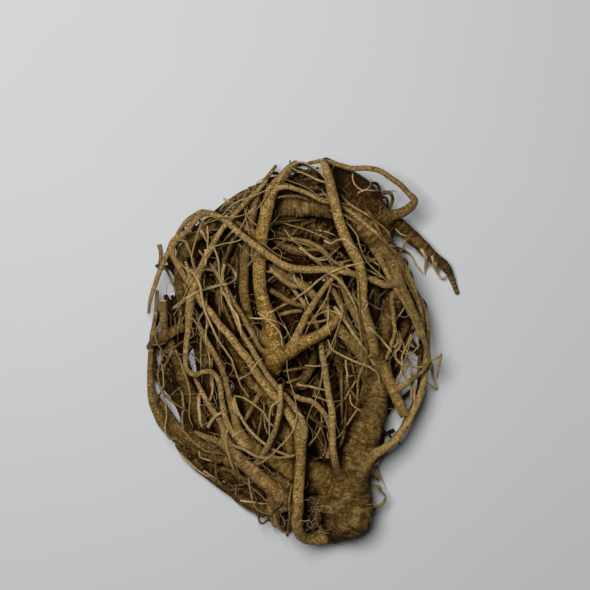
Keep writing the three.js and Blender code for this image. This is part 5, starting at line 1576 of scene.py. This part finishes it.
# %% The tree
def root_tree():
    """Sweeps a round, knobbly skin along threads that carry a girth and a length so far."""
    tree = bpy.data.node_groups.new("Root skin along a thread", "GeometryNodeTree")
    node = partial(linked, tree)
    given = with_sockets(tree, [("Threads", "Geometry"), ("Sides", "Int"), ("Knobble", "Float"),
                                ("Knobble length", "Float"), ("Bark", "Material")],
                         [("Roots", "Geometry")])
    girth, along = named(tree, "girth"), named(tree, "along")
    curve = node("GeometryNodeMeshToCurve", {"Mesh": given["Threads"]})
    circle = node("GeometryNodeCurvePrimitiveCircle",
                  {"Resolution": given["Sides"], "Radius": 1.0})
    spot = node("GeometryNodeInputPosition").outputs["Position"]
    ring = stored(tree, circle.outputs["Curve"], "round", spot)
    tube = node("GeometryNodeCurveToMesh", {"Curve": curve.outputs["Curve"], "Scale": girth,
                                            "Profile Curve": ring, "Fill Caps": True})

    # place on the bark in millimetres: round the root, and along it
    in_mm = sum_of(tree, "MULTIPLY", girth, 1 / MM)
    wide = vector_sum(tree, "SCALE", named(tree, "round", "FLOAT_VECTOR"), in_mm)
    lift = node("ShaderNodeCombineXYZ", {"Z": along}).outputs[0]
    marked = stored(tree, tube.outputs["Mesh"], "place", vector_sum(tree, "ADD", wide, lift))

    # the knobbly skin: out along the normal by a noise, as a share of the girth
    noise = node("ShaderNodeTexNoise",
                 {"Vector": named(tree, "place", "FLOAT_VECTOR"), "Detail": 1.0,
                  "Scale": sum_of(tree, "DIVIDE", 1.0, given["Knobble length"])})
    centred = sum_of(tree, "SUBTRACT", noise.outputs["Fac"], 0.5)
    share = sum_of(tree, "MULTIPLY", centred, given["Knobble"])
    height = sum_of(tree, "MULTIPLY", share, girth)
    normal = node("GeometryNodeInputNormal").outputs["Normal"]
    raised = node("GeometryNodeSetPosition",
                  {"Geometry": marked, "Offset": vector_sum(tree, "SCALE", normal, height)})
    smooth = node("GeometryNodeSetShadeSmooth", {0: raised.outputs["Geometry"]})
    real = node("GeometryNodeRealizeInstances", {0: smooth.outputs[0]})
    done = node("GeometryNodeSetMaterial",
                {"Geometry": real.outputs[0], "Material": given["Bark"]})
    node("NodeGroupOutput", {"Roots": done.outputs["Geometry"]})
    return tree


ROOT_TREE = root_tree()
print("tree:", len(ROOT_TREE.nodes), "nodes")

# %% Run the tree on the threads
THREADS_APART = 23.7        # between the places of two threads on the bark, in millimetres


def thread_mesh(name, threads):
    """Bare lines as a mesh of edges, with the attributes that the tree reads, in metres."""
    points = np.vstack([t["places"] for t in threads]) * MM
    counts = [len(t["places"]) for t in threads]
    starts = np.concatenate([[0], np.cumsum(counts)[:-1]])
    edges = np.vstack([np.column_stack([np.arange(n - 1), np.arange(1, n)]) + s
                       for s, n in zip(starts, counts)])
    mesh = bpy.data.meshes.new(name)
    mesh.from_pydata(points, edges, [])
    rows = {"girth": np.concatenate([t["radii"] * MM for t in threads]),
            "along": np.concatenate([length_so_far(t["places"]) + THREADS_APART * k
                                     for k, t in enumerate(threads)])}
    for key in ("reddish", "dark", "pale"):
        rows[key] = np.repeat([t[key] for t in threads], counts)
    # painted shade, with some soil, the deeper the thread lies in the nest
    rows["dark"] = rows["dark"] + DEEP_SHADE_AND_SOIL * depth_in_nest(points / MM)
    give_attributes(mesh, rows)
    return mesh


def apply_tree(obj, tree, values):
    """Runs a tree on an object with named inputs, and keeps the result as a plain mesh."""
    modifier = obj.modifiers.new("Grow", "NODES")
    modifier.node_group = tree
    sockets = {item.name: item.identifier for item in tree.interface.items_tree
               if item.in_out == "INPUT"}
    for key, value in values.items():
        modifier[sockets[key]] = value
    graph = bpy.context.evaluated_depsgraph_get()
    graph.update()
    plain = bpy.data.meshes.new_from_object(obj.evaluated_get(graph), depsgraph=graph)
    obj.modifiers.clear()
    plain.name = obj.name
    obj.data = plain


def grown_threads(name, threads, sides, knobble, knobble_length):
    """A piece made of many thin roots."""
    obj = in_scene(name, thread_mesh(name, threads))
    apply_tree(obj, ROOT_TREE, {"Sides": sides, "Knobble": knobble,
                                "Knobble length": knobble_length, "Bark": thin_bark})
    print(name, len(threads), "threads", triangles(obj.data), "triangles")
    return obj


# name: (threads, sides, how knobbly, millimetres from knob to knob)
THREAD_PIECES = {"fine_roots": (fine_threads + laid_threads, 9, 0.5, 2.2),
                 "deep_roots": (deep_threads, 6, 0.5, 3.0),
                 "hair_roots": (hair_threads, 4, 0.3, 1.5)}
for piece_name, row in THREAD_PIECES.items():
    pieces[piece_name] = grown_threads(piece_name, *row)

# %% [markdown]
# ## Soil
# A washed root still carries crumbs of soil on its bark. Geometry Nodes scatter them over it,
# and each is a little uneven stone of twenty faces.

# %% Crumbs of soil
SMALLEST_CRUMB, LARGEST_CRUMB, UNEVEN = 0.0002, 0.0006, 0.0009      # metres
CRUMB_WAVES = 900.0         # of the noise that makes them uneven, in a metre
CRUMB_FACES = 20
# name: (the piece the crumbs lie on, how many to a square metre, seed)
SOIL = {"soil_on_main_root": ("crown_and_right_leader", 9000.0, 5),
        "soil_on_side_roots": ("side_roots_right", 5000.0, 6)}


def crumb_tree():
    """Scatters small uneven stones over the faces of a piece."""
    tree = bpy.data.node_groups.new("Soil crumbs", "GeometryNodeTree")
    node = partial(linked, tree)
    given = with_sockets(tree, [("Bark", "Geometry"), ("Crumbs per square metre", "Float"),
                                ("Smallest", "Float"), ("Largest", "Float"), ("Seed", "Int"),
                                ("Soil", "Material")], [("Crumbs", "Geometry")])
    spots = node("GeometryNodeDistributePointsOnFaces",
                 {"Mesh": given["Bark"], "Density": given["Crumbs per square metre"],
                  "Seed": given["Seed"]})
    stone = node("GeometryNodeMeshIcoSphere", {"Radius": 1.0, "Subdivisions": 1})
    size = node("FunctionNodeRandomValue",
                {"Min": given["Smallest"], "Max": given["Largest"], "Seed": given["Seed"]})
    turn = node("FunctionNodeRandomValue",
                {0: (0.0, 0.0, 0.0), 1: (6.3, 6.3, 6.3), "Seed": given["Seed"]},
                data_type="FLOAT_VECTOR")
    placed = node("GeometryNodeInstanceOnPoints",
                  {"Points": spots.outputs["Points"], "Instance": stone.outputs["Mesh"],
                   "Rotation": turn.outputs[0], "Scale": size.outputs[1]})
    loose = node("GeometryNodeRealizeInstances", {0: placed.outputs["Instances"]})
    noise = node("ShaderNodeTexNoise", {"Scale": CRUMB_WAVES, "Detail": 1.0})
    middle = vector_sum(tree, "SUBTRACT", noise.outputs["Color"], (0.5, 0.5, 0.5))
    rough = node("GeometryNodeSetPosition",
                 {"Geometry": loose.outputs[0], "Offset": vector_sum(tree, "SCALE", middle, UNEVEN)})
    real = node("GeometryNodeRealizeInstances", {0: rough.outputs["Geometry"]})
    done = node("GeometryNodeSetMaterial",
                {"Geometry": real.outputs[0], "Material": given["Soil"]})
    node("NodeGroupOutput", {"Crumbs": done.outputs["Geometry"]})
    return tree


CRUMB_TREE = crumb_tree()
for piece_name, (bark, density, seed) in SOIL.items():
    crumbs = in_scene(piece_name, pieces[bark].data.copy())
    apply_tree(crumbs, CRUMB_TREE, {"Crumbs per square metre": density, "Seed": seed,
                                    "Smallest": SMALLEST_CRUMB, "Largest": LARGEST_CRUMB,
                                    "Soil": soil})
    pieces[piece_name] = crumbs
    print(piece_name, triangles(crumbs.data) // CRUMB_FACES, "crumbs")

# %% [markdown]
# ## Tie the pieces to the solid model
# Everything rides on the one body and stands for the one solid.

# %% Ride, replace
for piece in pieces.values():
    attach(piece, "root")
    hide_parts(NODE)
print(len(pieces), "pieces,", sum(triangles(p.data) for p in pieces.values()), "triangles")

# %% [markdown]
# ## Table, light and camera
# The root lies on a plain pale table. One large soft lamp hangs over it, a little to the back
# left, and the world fills in gently, so the gaps in the nest stay dark. The camera looks
# straight down through a long lens.

# %% Table
def table_inputs(tree):
    """A pale, faintly uneven grey."""
    grey = colour_mix(tree, object_noise(tree, 6.0, 2.0), (0.52, 0.53, 0.535, 1),
                      (0.54, 0.55, 0.555, 1))
    return {"Base Color": grey, "Roughness": 0.6}


TABLE_HALF = 3.0            # metres, far larger than the root
corners = [(x * TABLE_HALF, y * TABLE_HALF, 0) for x, y in ((-1, -1), (1, -1), (1, 1), (-1, 1))]
mesh = bpy.data.meshes.new("table_top")
mesh.from_pydata(corners, [], [(0, 1, 2, 3)])
mesh.materials.append(material_from("pale_table", table_inputs))
table = in_scene("table_top", mesh)

# %% Light
LAMP_SIZE, LAMP_POWER = 0.85, 29.0      # metres and watts
LAMP_PLACE = Vector((-0.39, 0.43, 1.52))
ROOM_COLOUR, ROOM_LIGHT = (0.92, 0.96, 1.0, 1), 0.04

light = bpy.data.lights.new("ceiling_lamp", "AREA")
light.size, light.energy = LAMP_SIZE, LAMP_POWER
lamp = in_scene("ceiling_lamp", light)
lamp.location = LAMP_PLACE
lamp.rotation_euler = (-LAMP_PLACE).to_track_quat("-Z", "Y").to_euler()
world = bpy.data.worlds.new("room")
world.use_nodes = True
background = world.node_tree.nodes["Background"]
background.inputs["Color"].default_value = ROOM_COLOUR
background.inputs["Strength"].default_value = ROOM_LIGHT
bpy.context.scene.world = world

# %% Camera
SEEN_WIDTH = 0.4425         # what the picture spans at the height of the nest's middle
NEST_MIDDLE = 0.030
CAMERA_PLACE = (-0.0075, 0.0413, 1.60)
camera = bpy.data.cameras.new("camera")
camera.sensor_width = 36.0
camera.lens = camera.sensor_width * (CAMERA_PLACE[2] - NEST_MIDDLE) / SEEN_WIDTH
camera_object = in_scene("camera", camera)
camera_object.location = CAMERA_PLACE
bpy.context.scene.camera = camera_object
bpy.context.scene.view_settings.view_transform = "Standard"
print("lens", round(camera.lens, 1), "mm")
